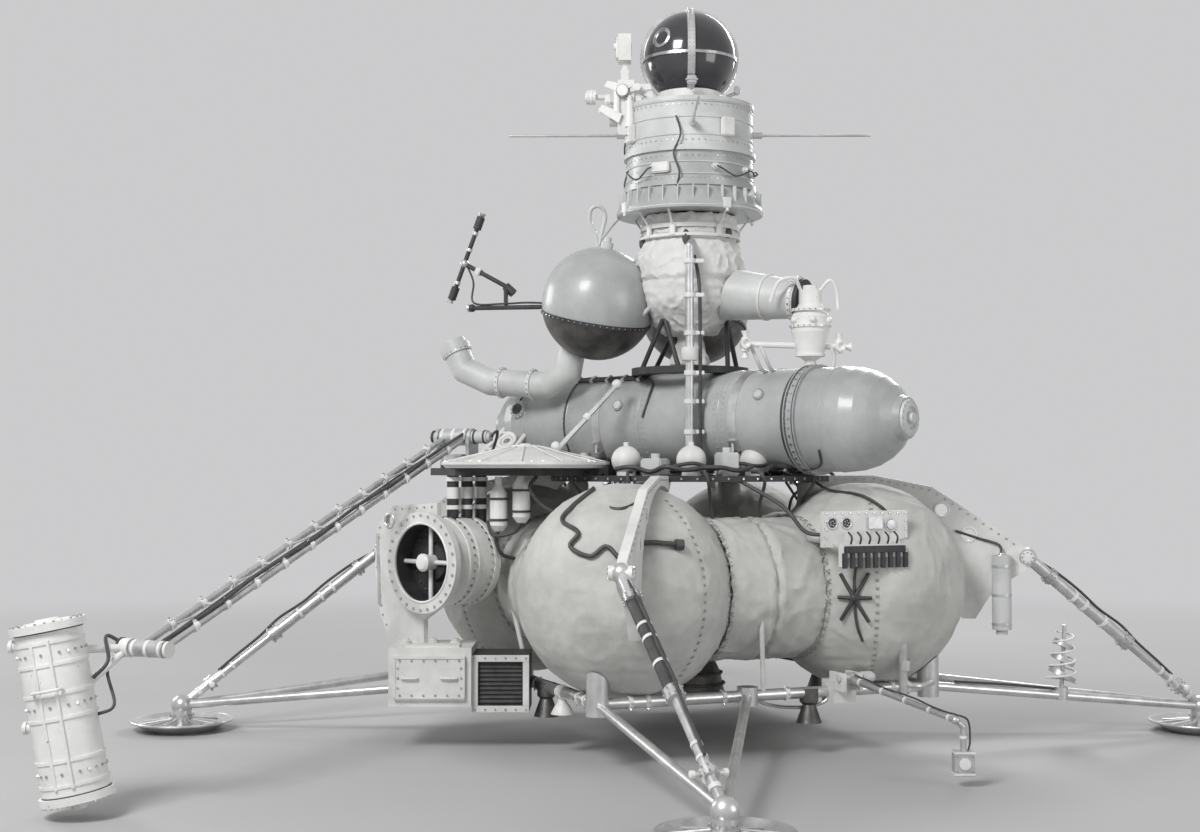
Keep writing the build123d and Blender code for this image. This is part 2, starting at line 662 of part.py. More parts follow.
def lower_drum():
    r = DRUM_D / 2
    profile = [(0, SKIRT_D / 2), (25, SKIRT_D / 2), (SKIRT_TOP - SKIRT_BOTTOM - 20, r + 6),
               (SKIRT_TOP - SKIRT_BOTTOM - 20, r + 16), (SKIRT_TOP - SKIRT_BOTTOM + 12, r + 16),
               (SKIRT_TOP - SKIRT_BOTTOM + 12, r), (DRUM_SPLIT - SKIRT_BOTTOM, r)]
    return turned((0, 0, SKIRT_BOTTOM), (0, 0, 1), profile)


def upper_drum():
    r = DRUM_D / 2
    height = DRUM_TOP - DRUM_SPLIT
    profile = [(0, r + 16), (26, r + 16), (26, r), (height - 22, r), (height - 22, r + 8), (height, r + 8)]
    return turned((0, 0, DRUM_SPLIT), (0, 0, 1), profile)


def whips():
    rods = []
    for compass in LEGS.values():
        start = polar(DRUM_D / 2 - 4, compass, WHIP_Z)
        whip = rod(start, polar(DRUM_D / 2 + WHIP_LENGTH, compass, WHIP_Z), WHIP_D)
        root = rod(start, polar(DRUM_D / 2 + 55, compass, WHIP_Z), WHIP_D * 2.6)
        rods.append(largest(less(whip + root, upper_drum())))
    return Compound(children=rods)


def collar():
    shape = Pos(0, 0, DRUM_TOP) * Cylinder(COLLAR_D / 2, COLLAR_H, align=MID)
    return less(shape, ball((0, 0, CAPSULE_Z), CAPSULE_D))


def straps():
    """Two crossed hoops over the capsule."""
    ring = Cylinder(STRAP_D / 2, STRAP_W) - Cylinder(CAPSULE_D / 2, STRAP_W)
    shape = Pos(0, 0, CAPSULE_Z) * (Rot(90, 0, 0) * ring + Rot(0, 90, 0) * ring)
    return largest(less(shape, ball((0, 0, CAPSULE_Z), CAPSULE_D), collar(), upper_drum()))


HATCH_X = -(DRUM_D / 2 + 12)   # lid's hinge pin
HATCH_Y = -85
HATCH_Z = DRUM_TOP + 178


def hatch_mechanism():
    """Latch gear of the sample hatch, at the left of the capsule."""
    x, y = HATCH_X + 6, HATCH_Y
    latch = DRUM_TOP + 47
    shape = Pos(x, y, DRUM_TOP - 170) * Box(90, 120, 300, align=MID)
    shape = shape + Pos(x + 90, y, DRUM_TOP) * Box(110, 90, 70, align=MID)
    shape = shape + rod((x - 180, y, latch), (x, y, latch), 30)
    shape = shape + rod((x - 215, y, latch), (x - 165, y, latch), 78)
    shape = shape + rod((x - 90, y, DRUM_TOP - 80), (x - 20, y, DRUM_TOP - 80), 70)
    shape = less(shape, *hinge_room())
    hinge = Pos(HATCH_X, HATCH_Y, HATCH_Z)
    eye = rod((HATCH_X, y - 42, HATCH_Z), (HATCH_X, y - 24, HATCH_Z), 44)
    eye = eye + rod((HATCH_X, y + 24, HATCH_Z), (HATCH_X, y + 42, HATCH_Z), 44)
    ears = hinge * Pos(0, -33, -53) * Box(40, 18, 55, align=MID)
    ears = ears + hinge * Pos(0, 33, -53) * Box(40, 18, 55, align=MID)
    pin = rod((HATCH_X, y - 42, HATCH_Z), (HATCH_X, y + 42, HATCH_Z), 12)
    return less(shape + ears + eye + pin, upper_drum(), collar())


def hinge_room():
    return [Pos(HATCH_X, HATCH_Y, HATCH_Z) * Box(80, 70, 90)]


def hatch_lid():
    """Lid of the sample hatch, open beside the capsule."""
    x, y, z = HATCH_X, HATCH_Y, HATCH_Z
    lid = Pos(x, y, z + 62) * Box(70, 110, 145, align=MID)
    lug = Pos(x, y, z) * Box(22, 34, 70, align=MID)
    barrel = rod((x, y - 17, z), (x, y + 17, z), 34)
    return (lid + lug + barrel) - rod((x, y - 30, z), (x, y + 30, z), 12 + 2 * PIN_GAP)


# Left side drum and boxes
def drum_axis():
    return polar(1, SIDE_DRUM_COMPASS)


def drum_body():
    """Drum with a wide flange and an open, recessed face."""
    front = Vector(SIDE_DRUM_X, SIDE_DRUM_Y, SIDE_DRUM_Z)
    out = drum_axis()
    shape = rod(front - out * SIDE_DRUM_LENGTH, front, SIDE_DRUM_D)
    return shape + rod(front - out * SIDE_DRUM_FLANGE_T, front, SIDE_DRUM_FLANGE_D)


def side_drum():
    front = Vector(SIDE_DRUM_X, SIDE_DRUM_Y, SIDE_DRUM_Z)
    out = drum_axis()
    recess = rod(front - out * 120, front + out * 5, SIDE_DRUM_D - 60)
    knob = rod(front - out * 125, front - out * 20, 80)
    small = rod(front - out * (SIDE_DRUM_LENGTH + 110), front - out * SIDE_DRUM_LENGTH, SIDE_DRUM_D * 0.55)
    return largest(less(drum_body() - recess + knob + small, tank("left"), tank("front")))


def drum_bracket():
    """C-shaped plate round the drum, standing on the equipment box."""
    out = drum_axis()
    at = Vector(SIDE_DRUM_X, SIDE_DRUM_Y, 0) - out * 75
    outline = [(-40, 1250), (300, 1230), (430, 1120), (450, 900), (400, 640), (330, BOX_TOP), (60, BOX_TOP),
               (60, 640), (-40, 700)]
    face = make_face(Polyline(*outline, close=True)) - Pos(330, 1150) * Circle(34)
    plane = Plane(origin=at, x_dir=(out.Y, -out.X, 0), z_dir=(-out.X, -out.Y, 0))
    plate = extrude(plane * face, BRACKET_PLATE_T)
    return largest(less(plate, drum_body(), outrigger(), brace("left")))


def equipment_box():
    width, middle = BOX_SPLIT_X - BOX_LEFT_X, (BOX_SPLIT_X + BOX_LEFT_X) / 2
    box = Pos(middle, BOX_FRONT_Y + BOX_DEPTH / 2, 225) * Box(width, BOX_DEPTH, BOX_TOP - 225, align=MID)
    lid = Pos(middle, BOX_FRONT_Y - 10, 260) * Box(width - 60, 20, BOX_TOP - 300, align=MID)
    return largest(less(box + lid, brace("left")))


def radiator_box():
    """Box with a framed, recessed face, carried on the base frame."""
    width, x = BOX_RIGHT_X - BOX_SPLIT_X, (BOX_SPLIT_X + BOX_RIGHT_X) / 2
    box = Pos(x, RADIATOR_FRONT_Y + RADIATOR_DEPTH / 2, 190) * Box(width, RADIATOR_DEPTH, 290, align=MID)
    box = box - Pos(x, RADIATOR_FRONT_Y, 225) * Box(width - 60, 40, 220, align=MID)
    frame_tube = rod(corner("left"), corner("front"), BASE_TUBE_D)
    return largest(less(box, frame_tube, clamp_block("left"), thruster("left")))


# Front right panel and its connector rail
def front_panel():
    along, out = side_frame("front")
    reach = TANK_REACH + TANK_D / 2 - 362
    middle = out * reach + along * 420 + Vector(0, 0, TANK_Z + 310)
    shape = Pos(*middle) * Rot(0, 0, degrees(atan2(along.Y, along.X)))
    plate = shape * Box(480, 30, 176)
    for x in (-190, -110):
        plate = plate - shape * Pos(x, 0, 30) * Rot(90, 0, 0) * Cylinder(24, 40)
    rail = shape * Pos(20, -40, -128) * Box(350, 50, 110)
    for n in range(8):
        rail = rail - shape * Pos(-130 + 43 * n, -54, -168) * Box(18, 40, 60)
    rail = rail + shape * Pos(20, -8, -100) * Box(300, 26, 60)
    left_root = along * 230 + Vector(0, 0, TANK_Z + 260)
    right_root = along * 560 + Vector(0, 0, TANK_Z + 240)
    arms = rod(out * (reach - 300) + left_root, out * reach + left_root, 40)
    arms = arms + rod(out * (reach - 200) + right_root, out * reach + right_root, 40)
    return largest(less(plate + rail + arms, between("front"), tank("front"), tank("right")))


# Soil probe arm at the right front
PROBE_ALONG = 387
PROBE_REACH = 1030
PROBE_Z = 386
PROBE_LENGTH = 850


def probe_bracket():
    """Bracket on the base frame with two cheeks for the probe arm."""
    along, out = side_frame("front")
    turn = Rot(0, 0, degrees(atan2(out.Y, out.X)))
    side_reach = CORNER_REACH * cos(radians(45))
    place = Pos(*(along * PROBE_ALONG)) * turn
    foot = place * Pos(side_reach + 10, 0, 315) * Box(120, 130, 110)
    shape = foot
    for s in (-1, 1):
        cheek = Pos((side_reach + PROBE_REACH) / 2 + 25, s * 46, 368) * Box(PROBE_REACH - side_reach + 30, 18, 90)
        shape = shape + place * cheek
    shape = shape + rod(probe_pin(-58), probe_pin(58), 20)
    frame_tube = rod(corner("front"), corner("right"), BASE_TUBE_D)
    return largest(less(shape, frame_tube, tank("right"), between("front")))


def probe_pin(shift):
    along, out = side_frame("front")
    return out * PROBE_REACH + along * (PROBE_ALONG + shift) + Vector(0, 0, PROBE_Z)


def probe_arm():
    """Arm with a loop and a box that hangs at its end."""
    root, out = probe_pin(0), side_frame("front")[1]
    tip = root + out * PROBE_LENGTH + Vector(40, 0, -90)
    shape = rod(probe_pin(-30), probe_pin(30), 56) + rod(root, tip, 36, 26)
    drop = tip + Vector(34, 0, -30)
    shape = shape + ball(tip, 40) + rod(tip, drop, 26) + ball(drop, 26) + rod(drop, drop - Vector(0, 0, 110), 26)
    shape = shape + Pos(*(drop - Vector(0, 0, 160))) * Box(90, 70, 110)
    return shape - rod(probe_pin(-40), probe_pin(40), 20 + 2 * PIN_GAP)


def conical_antenna():
    """Slender mast with three slanted turns, on the right leg's lower brace."""
    share = 0.474
    foot = knuckle("right") + (corner("right") - knuckle("right")) * (1 - share)
    foot = knuckle("right") * share + corner("right") * (1 - share)
    shape = rod(foot, foot + Vector(20, 0, 370), 22) + rod(foot - Vector(0, 0, 20), foot + Vector(0, 0, 46), 70)
    for height, d in ((110, 150), (190, 130), (270, 110)):
        centre = foot + Vector(height * 0.05, 0, height)
        shape = shape + Pos(*centre) * Rot(0, 28, 0) * Cylinder(d / 2, 26)
    return largest(less(shape, brace("right")))


def hanging_canister():
    """Small upright canister on the right leg's bracket."""
    turn = LEGS["right"] + LEG_TOP_TURN
    at = polar(LEG_TOP_REACH - 132, turn, 0) + polar(1, turn - 90) * 62
    shape = rod((at.X, at.Y, 590), (at.X, at.Y, 975), 100) + rod((at.X, at.Y, 565), (at.X, at.Y, 590), 60)
    return largest(less(shape, leg_bracket("right"), strut("right")))


def parts():
    """Every piece, by its plain name."""
    made = {}
    for name in LEGS:
        made[f"Pad_{name}"] = pad(name)
        made[f"Strut_{name}"] = strut(name)
        made[f"Brace_{name}"] = brace(name)
        made[f"Base_side_{name}"] = base_side(name)
        made[f"Tank_{name}"] = tank(name)
    made["Intertank_sections"] = Compound(children=[largest(between(name)) for name in LEGS])
    made["Leg_brackets"] = Compound(children=[leg_bracket(name) for name in LEGS])
    made["Side_trusses"] = Compound(children=[side_truss(name) for name in LEGS])
    made["Landing_thrusters"] = Compound(children=[largest(thruster(name)) for name in LEGS])
    made["Main_engine"] = engine()
    made["Deck"] = deck()
    made["Outrigger"] = outrigger()
    made["Lens_disc"] = lens()
    made["Boom_turret"] = turret()
    made["Boom"] = boom()
    made["Drill_canister"] = canister()
    made["Instrument_cylinder"] = cylinder_skin()
    made["Stage_stand"] = stand()
    made["Ascent_body"] = less(ascent_core(), *ascent_spheres())
    made["Ascent_tanks"] = Compound(children=[largest(s) for s in ascent_spheres()])
    made["Side_cone"] = side_cone()
    made["Thruster_block"] = thruster_block()
    made["Bent_duct"] = bent_pipe()
    made["Jet_boom"] = jet_boom()
    made["Standpipes"] = standpipes()
    made["Lower_drum"] = lower_drum()
    made["Upper_drum"] = upper_drum()
    made["Whip_antennas"] = whips()
    made["Capsule_collar"] = collar()
    made["Return_capsule"] = ball((0, 0, CAPSULE_Z), CAPSULE_D)
    made["Capsule_straps"] = straps()
    made["Hatch_mechanism"] = hatch_mechanism()
    made["Hatch_lid"] = hatch_lid()
    made["Side_drum"] = side_drum()
    made["Drum_bracket"] = drum_bracket()
    made["Equipment_box"] = equipment_box()
    made["Radiator_box"] = radiator_box()
    made["Front_panel"] = front_panel()
    made["Probe_bracket"] = probe_bracket()
    made["Probe_arm"] = probe_arm()
    made["Conical_antenna"] = conical_antenna()
    made["Hanging_canister"] = hanging_canister()
    return made


os.makedirs("parts", exist_ok=True)
for node, shape in parts().items():
    export_step(shape, f"parts/{node}.step")
    print(node, len(shape.solids()), round(sum(s.volume for s in shape.solids()) / 1e6, 1))
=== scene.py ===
# %% [markdown]
# A robotic lunar lander, dressed in Blender. The CAD model gives every piece its place and size. This script
# gives each piece its finish and adds what is too fine for the CAD: rivets, lacing, hoses, cables and folded
# blankets. The first cell loads the imported model.

# %% Load the fixed frame
import math

import bmesh
import bpy
from mathutils import Matrix, Vector, noise


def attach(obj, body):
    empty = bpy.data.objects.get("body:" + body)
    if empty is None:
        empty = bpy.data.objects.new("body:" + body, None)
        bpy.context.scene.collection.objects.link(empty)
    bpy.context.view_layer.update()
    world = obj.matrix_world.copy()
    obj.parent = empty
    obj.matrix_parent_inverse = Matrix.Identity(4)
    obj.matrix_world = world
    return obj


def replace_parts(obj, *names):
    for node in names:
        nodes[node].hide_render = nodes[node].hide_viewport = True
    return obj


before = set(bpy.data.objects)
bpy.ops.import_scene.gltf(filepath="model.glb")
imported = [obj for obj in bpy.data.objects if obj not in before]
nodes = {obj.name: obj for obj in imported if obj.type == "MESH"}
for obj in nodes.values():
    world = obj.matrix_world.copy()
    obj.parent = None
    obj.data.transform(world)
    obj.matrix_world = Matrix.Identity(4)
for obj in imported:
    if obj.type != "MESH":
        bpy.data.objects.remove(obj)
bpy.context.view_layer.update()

# %% [markdown]
# The photograph was taken from about nine metres off, with the eye at tank height, so the horizon runs
# through the instrument cylinder. A 50 mm lens turned slightly up and to the left gives the same view with no
# lens shift.

# %% Camera
EYE_DISTANCE = 9.1
EYE_HEIGHT = 1.43
VIEW_TURN = math.radians(2.7)
PAN_LEFT = math.radians(3.11)
TILT_UP = math.radians(1.8)
LENS_MM = 49.7

scene = bpy.context.scene
camera_data = bpy.data.cameras.new("camera")
camera_data.lens = LENS_MM
camera = bpy.data.objects.new("camera", camera_data)
scene.collection.objects.link(camera)
camera.location = (-EYE_DISTANCE * math.sin(VIEW_TURN), -EYE_DISTANCE * math.cos(VIEW_TURN), EYE_HEIGHT)
camera.rotation_euler = (math.radians(90) + TILT_UP, 0, PAN_LEFT - VIEW_TURN)
scene.camera = camera

# %% [markdown]
# A studio for a vehicle this size is a pale floor, a soft lamp above the camera, a wide fill and a weak rim
# from behind. The key stands to the left and fairly near, so that round tanks and the cylinder roll off to
# grey.

# %% Floor and lamps
scene.view_settings.view_transform = "Standard"
FLOOR_HALF = 30.0
floor_mesh = bpy.data.meshes.new("floor")
corners = [(-FLOOR_HALF, -FLOOR_HALF, 0), (FLOOR_HALF, -FLOOR_HALF, 0), (FLOOR_HALF, FLOOR_HALF, 0),
           (-FLOOR_HALF, FLOOR_HALF, 0)]
floor_mesh.from_pydata(corners, [], [(0, 1, 2, 3)])
floor = bpy.data.objects.new("floor", floor_mesh)
scene.collection.objects.link(floor)


def lamp(name, place, aim, side, power):
    """Soft square lamp that looks from a place at a point."""
    data = bpy.data.lights.new(name, "AREA")
    data.size = side
    data.energy = power
    obj = bpy.data.objects.new(name, data)
    scene.collection.objects.link(obj)
    obj.location = place
    obj.rotation_euler = (Vector(aim) - Vector(place)).to_track_quat("-Z", "Y").to_euler()


lamp("key", (-4.6, -7.2, 7.2), (0, 0, 1.6), 3.2, 700)
lamp("fill", (7.5, -6.0, 3.0), (0, 0, 1.5), 4.0, 170)
lamp("rim", (3.0, 7.5, 6.0), (0, 0, 2.0), 3.5, 420)
lamp("rim_left", (-8.0, 4.0, 4.0), (0, 0, 2.0), 3.0, 200)

# %% [markdown]
# The world shows pale grey to the camera, to reflections and through glass, but lights the model only gently:
# Light Path tells the rays apart. One helper adds every node in this script, with its inputs as values or as
# links.


# %% World
PALE = (0.60, 0.60, 0.61)


def add(tree, kind, inputs=None, **settings):
    """Add a node. Inputs go by name or number: a value, a socket to link, or a node for its first output."""
    made = tree.nodes.new(kind)
    for key, value in settings.items():
        setattr(made, key, value)
    for key, value in (inputs or {}).items():
        if isinstance(value, bpy.types.Node):
            value = value.outputs[0]
        if isinstance(value, bpy.types.NodeSocket):
            tree.links.new(value, made.inputs[key])
        else:
            made.inputs[key].default_value = value
    return made


def backdrop(tree, light, seen):
    """Background whose strength is one number as a light and another where it is seen."""
    tree.nodes.clear()
    rays = add(tree, "ShaderNodeLightPath").outputs
    either = add(tree, "ShaderNodeMath", {0: rays["Is Camera Ray"], 1: rays["Is Transmission Ray"]},
                 operation="MAXIMUM")
    visible = add(tree, "ShaderNodeMath", {0: either, 1: rays["Is Glossy Ray"]}, operation="MAXIMUM")
    strength = add(tree, "ShaderNodeMapRange", {"Value": visible, "To Min": light, "To Max": seen})
    background = add(tree, "ShaderNodeBackground", {"Color": (*PALE, 1), "Strength": strength})
    add(tree, "ShaderNodeOutputWorld", {0: background})


scene.world = bpy.data.worlds.new("studio")
scene.world.use_nodes = True
backdrop(scene.world.node_tree, light=0.50, seen=1.0)

# %% [markdown]
# Every finish here has the same skeleton: a Principled shader whose colour, roughness and bump come from
# noise in the object's own metres. Mottling is a broad noise, grain a fine one, and chips are small flecks
# where paint has gone. A pattern in object metres needs no unwrapping and keeps its scale on large and small
# pieces alike.


# %% Helper for finishes
def noise_node(tree, vector, scale, detail, rough=0.6):
    return add(tree, "ShaderNodeTexNoise", {"Vector": vector, "Scale": scale, "Detail": detail,
                                            "Roughness": rough})


def ramp_node(tree, factor, low, high, dark, light):
    ramp = add(tree, "ShaderNodeValToRGB", {"Fac": factor})
    for element, position, colour in zip(ramp.color_ramp.elements, (low, high), (dark, light)):
        element.position = position
        element.color = (*colour, 1)
    return ramp


def finish(name, slot, colour, dark, rough, metal=0.0, mottle=3.0, grain=90.0, bump=0.15, depth=0.004,
           spread=0.16, coat=0.0, chips=0.0, chip_colour=(0.2, 0.2, 0.2)):
    """Material: mottling mixes colour and dark, rough is a pair of values, chips is the flecked share."""
    material = bpy.data.materials.new(name)
    material["slot"] = slot
    material.use_nodes = True
    tree = material.node_tree
    shader = tree.nodes["Principled BSDF"].inputs
    shader["Metallic"].default_value = metal
    shader["Coat Weight"].default_value = coat
    place = add(tree, "ShaderNodeTexCoord").outputs["Object"]
    broad = noise_node(tree, place, mottle, 7, 0.62)
    fine = noise_node(tree, place, grain, 3)
    skin = ramp_node(tree, broad, 0.5 - spread, 0.5 + spread, dark, colour).outputs[0]
    if chips:
        flecks = noise_node(tree, place, 38, 8, 0.75)
        edge = 0.68 - chips
        where = ramp_node(tree, flecks, edge, edge + 0.02, (0, 0, 0), (1, 1, 1))
        bare = ramp_node(tree, fine, 0.3, 0.7, [c * 0.6 for c in chip_colour], chip_colour)
        skin = add(tree, "ShaderNodeMix", {0: where, 6: skin, 7: bare}, data_type="RGBA").outputs[2]
    tree.links.new(skin, shader["Base Color"])
    shine = add(tree, "ShaderNodeMapRange", {"Value": fine, "To Min": rough[0], "To Max": rough[1]})
    tree.links.new(shine.outputs[0], shader["Roughness"])
    height = add(tree, "ShaderNodeMath", {0: broad, 1: 2.0, 2: fine}, operation="MULTIPLY_ADD")
    relief = add(tree, "ShaderNodeBump", {"Strength": bump, "Distance": depth, "Height": height})
    tree.links.new(relief.outputs[0], shader["Normal"])
    return material


# %% [markdown]
# The real lander is matt white and grey enamel, bare tube, black parts, and cloth blankets that have crept
# and creased. The values below are for plain light: white paint is about 0.75, never 1, and black is never 0.

# %% Finishes
white = finish("white_enamel", "white_paint", (0.80, 0.80, 0.78), (0.62, 0.62, 0.60), (0.40, 0.58), mottle=5,
               bump=0.12, chips=0.02)
bright = finish("bright_enamel", "white_paint", (0.86, 0.86, 0.84), (0.72, 0.72, 0.70), (0.34, 0.5), mottle=6,
                bump=0.1, chips=0.03, chip_colour=(0.12, 0.12, 0.12))
grey = finish("grey_enamel", "grey_paint", (0.47, 0.48, 0.48), (0.33, 0.34, 0.34), (0.26, 0.42), mottle=3,
              bump=0.08, coat=0.15, chips=0.01)
pale_grey = finish("pale_grey_enamel", "grey_paint", (0.64, 0.65, 0.64), (0.48, 0.49, 0.48), (0.36, 0.52),
                   mottle=4, bump=0.10, chips=0.015)
tube = finish("bare_tube", "polished_steel", (0.72, 0.72, 0.71), (0.50, 0.50, 0.50), (0.24, 0.4), metal=0.75,
              mottle=9, bump=0.05)
alloy = finish("bare_alloy", "alloy", (0.66, 0.66, 0.66), (0.46, 0.47, 0.48), (0.3, 0.5), metal=0.7,
               mottle=12, bump=0.08, chips=0.01)
steel = finish("fastener_steel", "polished_steel", (0.62, 0.62, 0.62), (0.42, 0.42, 0.42), (0.2, 0.35),
               metal=1.0, mottle=30, bump=0.04)
black = finish("matt_black", "dark_parts", (0.045, 0.045, 0.048), (0.02, 0.02, 0.022), (0.45, 0.7), mottle=10,
               bump=0.2, chips=0.01, chip_colour=(0.3, 0.3, 0.3))
glossy_black = finish("glossy_black", "dark_parts", (0.05, 0.05, 0.055), (0.022, 0.022, 0.025), (0.10, 0.2),
                      mottle=3, bump=0.02, coat=0.6)
rubber = finish("hose_rubber", "dark_parts", (0.07, 0.07, 0.07), (0.035, 0.035, 0.035), (0.4, 0.6), mottle=20,
                grain=300, bump=0.2)
blanket = finish("blanket_cloth", "thermal_blanket", (0.66, 0.66, 0.63), (0.44, 0.44, 0.42), (0.55, 0.8),
                 mottle=4.0, grain=260, bump=0.45, depth=0.006, spread=0.22)
bright_blanket = finish("bright_blanket_cloth", "thermal_blanket", (0.80, 0.80, 0.78), (0.62, 0.62, 0.60),
                        (0.5, 0.75), mottle=6.0, grain=260, bump=0.45, depth=0.006, spread=0.2)
# Dark cloth used only to paint the shade in the neck blanket's creases.
crease_shade_cloth = finish("painted_crease_shade_cloth", "thermal_blanket", (0.12, 0.12, 0.12), (0.05, 0.05, 0.05),
                      (0.5, 0.8), mottle=6, grain=240, bump=0.5, depth=0.006)
thread = finish("lacing_cord", "thermal_blanket", (0.30, 0.30, 0.28), (0.18, 0.18, 0.17), (0.7, 0.9),
                mottle=60, grain=400, bump=0.4)
# Scorched metal on the engines; on the ascent tanks' lower caps the same dark finish is painted shade.
scorch_and_painted_shade = finish("scorched_metal_and_painted_shade", "alloy", (0.20, 0.19, 0.18), (0.07, 0.07, 0.07), (0.35, 0.6), metal=0.8,
                  mottle=7)
print("finishes", len(bpy.data.materials))

# %% [markdown]
# The floor is pale paint near the lander and turns into the same grey as the backdrop further out, so that no
# horizon cuts through the picture. A radial ramp on the floor's own metres mixes in a plain emission.

# %% Floor finish
floor_paint = finish("floor_paint", "grey_paint", (0.46, 0.46, 0.46), (0.44, 0.44, 0.44), (0.7, 0.8),
                     mottle=0.6, bump=0.02)


def fade_out(material, near, far, colour):
    """Mix towards an emission between two distances from the object's origin."""
    tree = material.node_tree
    place = add(tree, "ShaderNodeTexCoord").outputs["Object"]
    reach = add(tree, "ShaderNodeVectorMath", {0: place}, operation="LENGTH").outputs["Value"]
    share = add(tree, "ShaderNodeMapRange", {"Value": reach, "From Min": near, "From Max": far},
                interpolation_type="SMOOTHSTEP")
    glow = add(tree, "ShaderNodeEmission", {"Color": (*colour, 1)})
    mix = add(tree, "ShaderNodeMixShader", {0: share, 1: tree.nodes["Principled BSDF"], 2: glow})
    tree.links.new(mix.outputs[0], tree.nodes["Material Output"].inputs["Surface"])


fade_out(floor_paint, 3.2, 11.0, PALE)
floor_mesh.materials.append(floor_paint)

# %% [markdown]
# A CAD node keeps its mesh, and only its material slot changes. This table says which finish each node wears.
# The nodes that a blanket replaces further on are in it too, so nothing is left bare by mistake.

# %% Which node wears what
WEARS = {
    white: ["Leg_brackets", "Side_drum", "Drum_bracket", "Front_panel", "Hatch_mechanism", "Hatch_lid",
            "Side_trusses", "Probe_bracket", "Capsule_collar", "Equipment_box", "Lens_disc"],
    bright: ["Drill_canister", "Thruster_block"],
    pale_grey: ["Bent_duct", "Side_cone", "Hanging_canister", "Upper_drum"],
    grey: ["Instrument_cylinder", "Ascent_tanks", "Lower_drum"],
    black: ["Deck", "Outrigger", "Stage_stand", "Jet_boom", "Radiator_box"],
    glossy_black: ["Return_capsule"],
    scorch_and_painted_shade: ["Main_engine", "Landing_thrusters"],
    alloy: ["Boom_turret", "Boom", "Probe_arm", "Conical_antenna", "Standpipes"],
    blanket: ["Intertank_sections", "Ascent_body", "Tank_front", "Tank_right", "Tank_back", "Tank_left"],
    tube: ["Whip_antennas", "Capsule_straps"],
}
for name in nodes:
    if name.split("_")[0] in ("Pad", "Strut", "Brace", "Base"):
        WEARS[tube].append(name)
for material, names in WEARS.items():
    for name in names:
        mesh = nodes[name].data
        mesh.materials.clear()
        mesh.materials.append(material)
print("dressed", sum(len(names) for names in WEARS.values()), "nodes")

# %% [markdown]
# Small fittings are built with bmesh. This little workshop adds closed solids to one mesh: rods, balls, boxes
# with eased edges, turned shapes, hoses through points, and plates. When a group is done it becomes one
# object with one finish, riding on one CAD body. Grouping by finish keeps the scene light and the outliner
# readable.


# %% Workshop for small fittings
def facing(origin, toward):
    """Matrix at a point with its Z axis along a direction."""
    return Matrix.Translation(origin) @ Vector(toward).to_track_quat("Z", "Y").to_matrix().to_4x4()


def smooth_path(points, steps):
    """Points on a Catmull-Rom line through the given ones."""
    pts = [Vector(p) for p in points]
    pts = [pts[0] * 2 - pts[1]] + pts + [pts[-1] * 2 - pts[-2]]
    line = []
    for a, b, c, d in zip(pts, pts[1:], pts[2:], pts[3:]):
        for n in range(steps):
            t = n / steps
            line.append(0.5 * (2 * b + (c - a) * t + (2 * a - 5 * b + 4 * c - d) * t * t
                               + (3 * b - a - 3 * c + d) * t ** 3))
    return line + [pts[-2]]


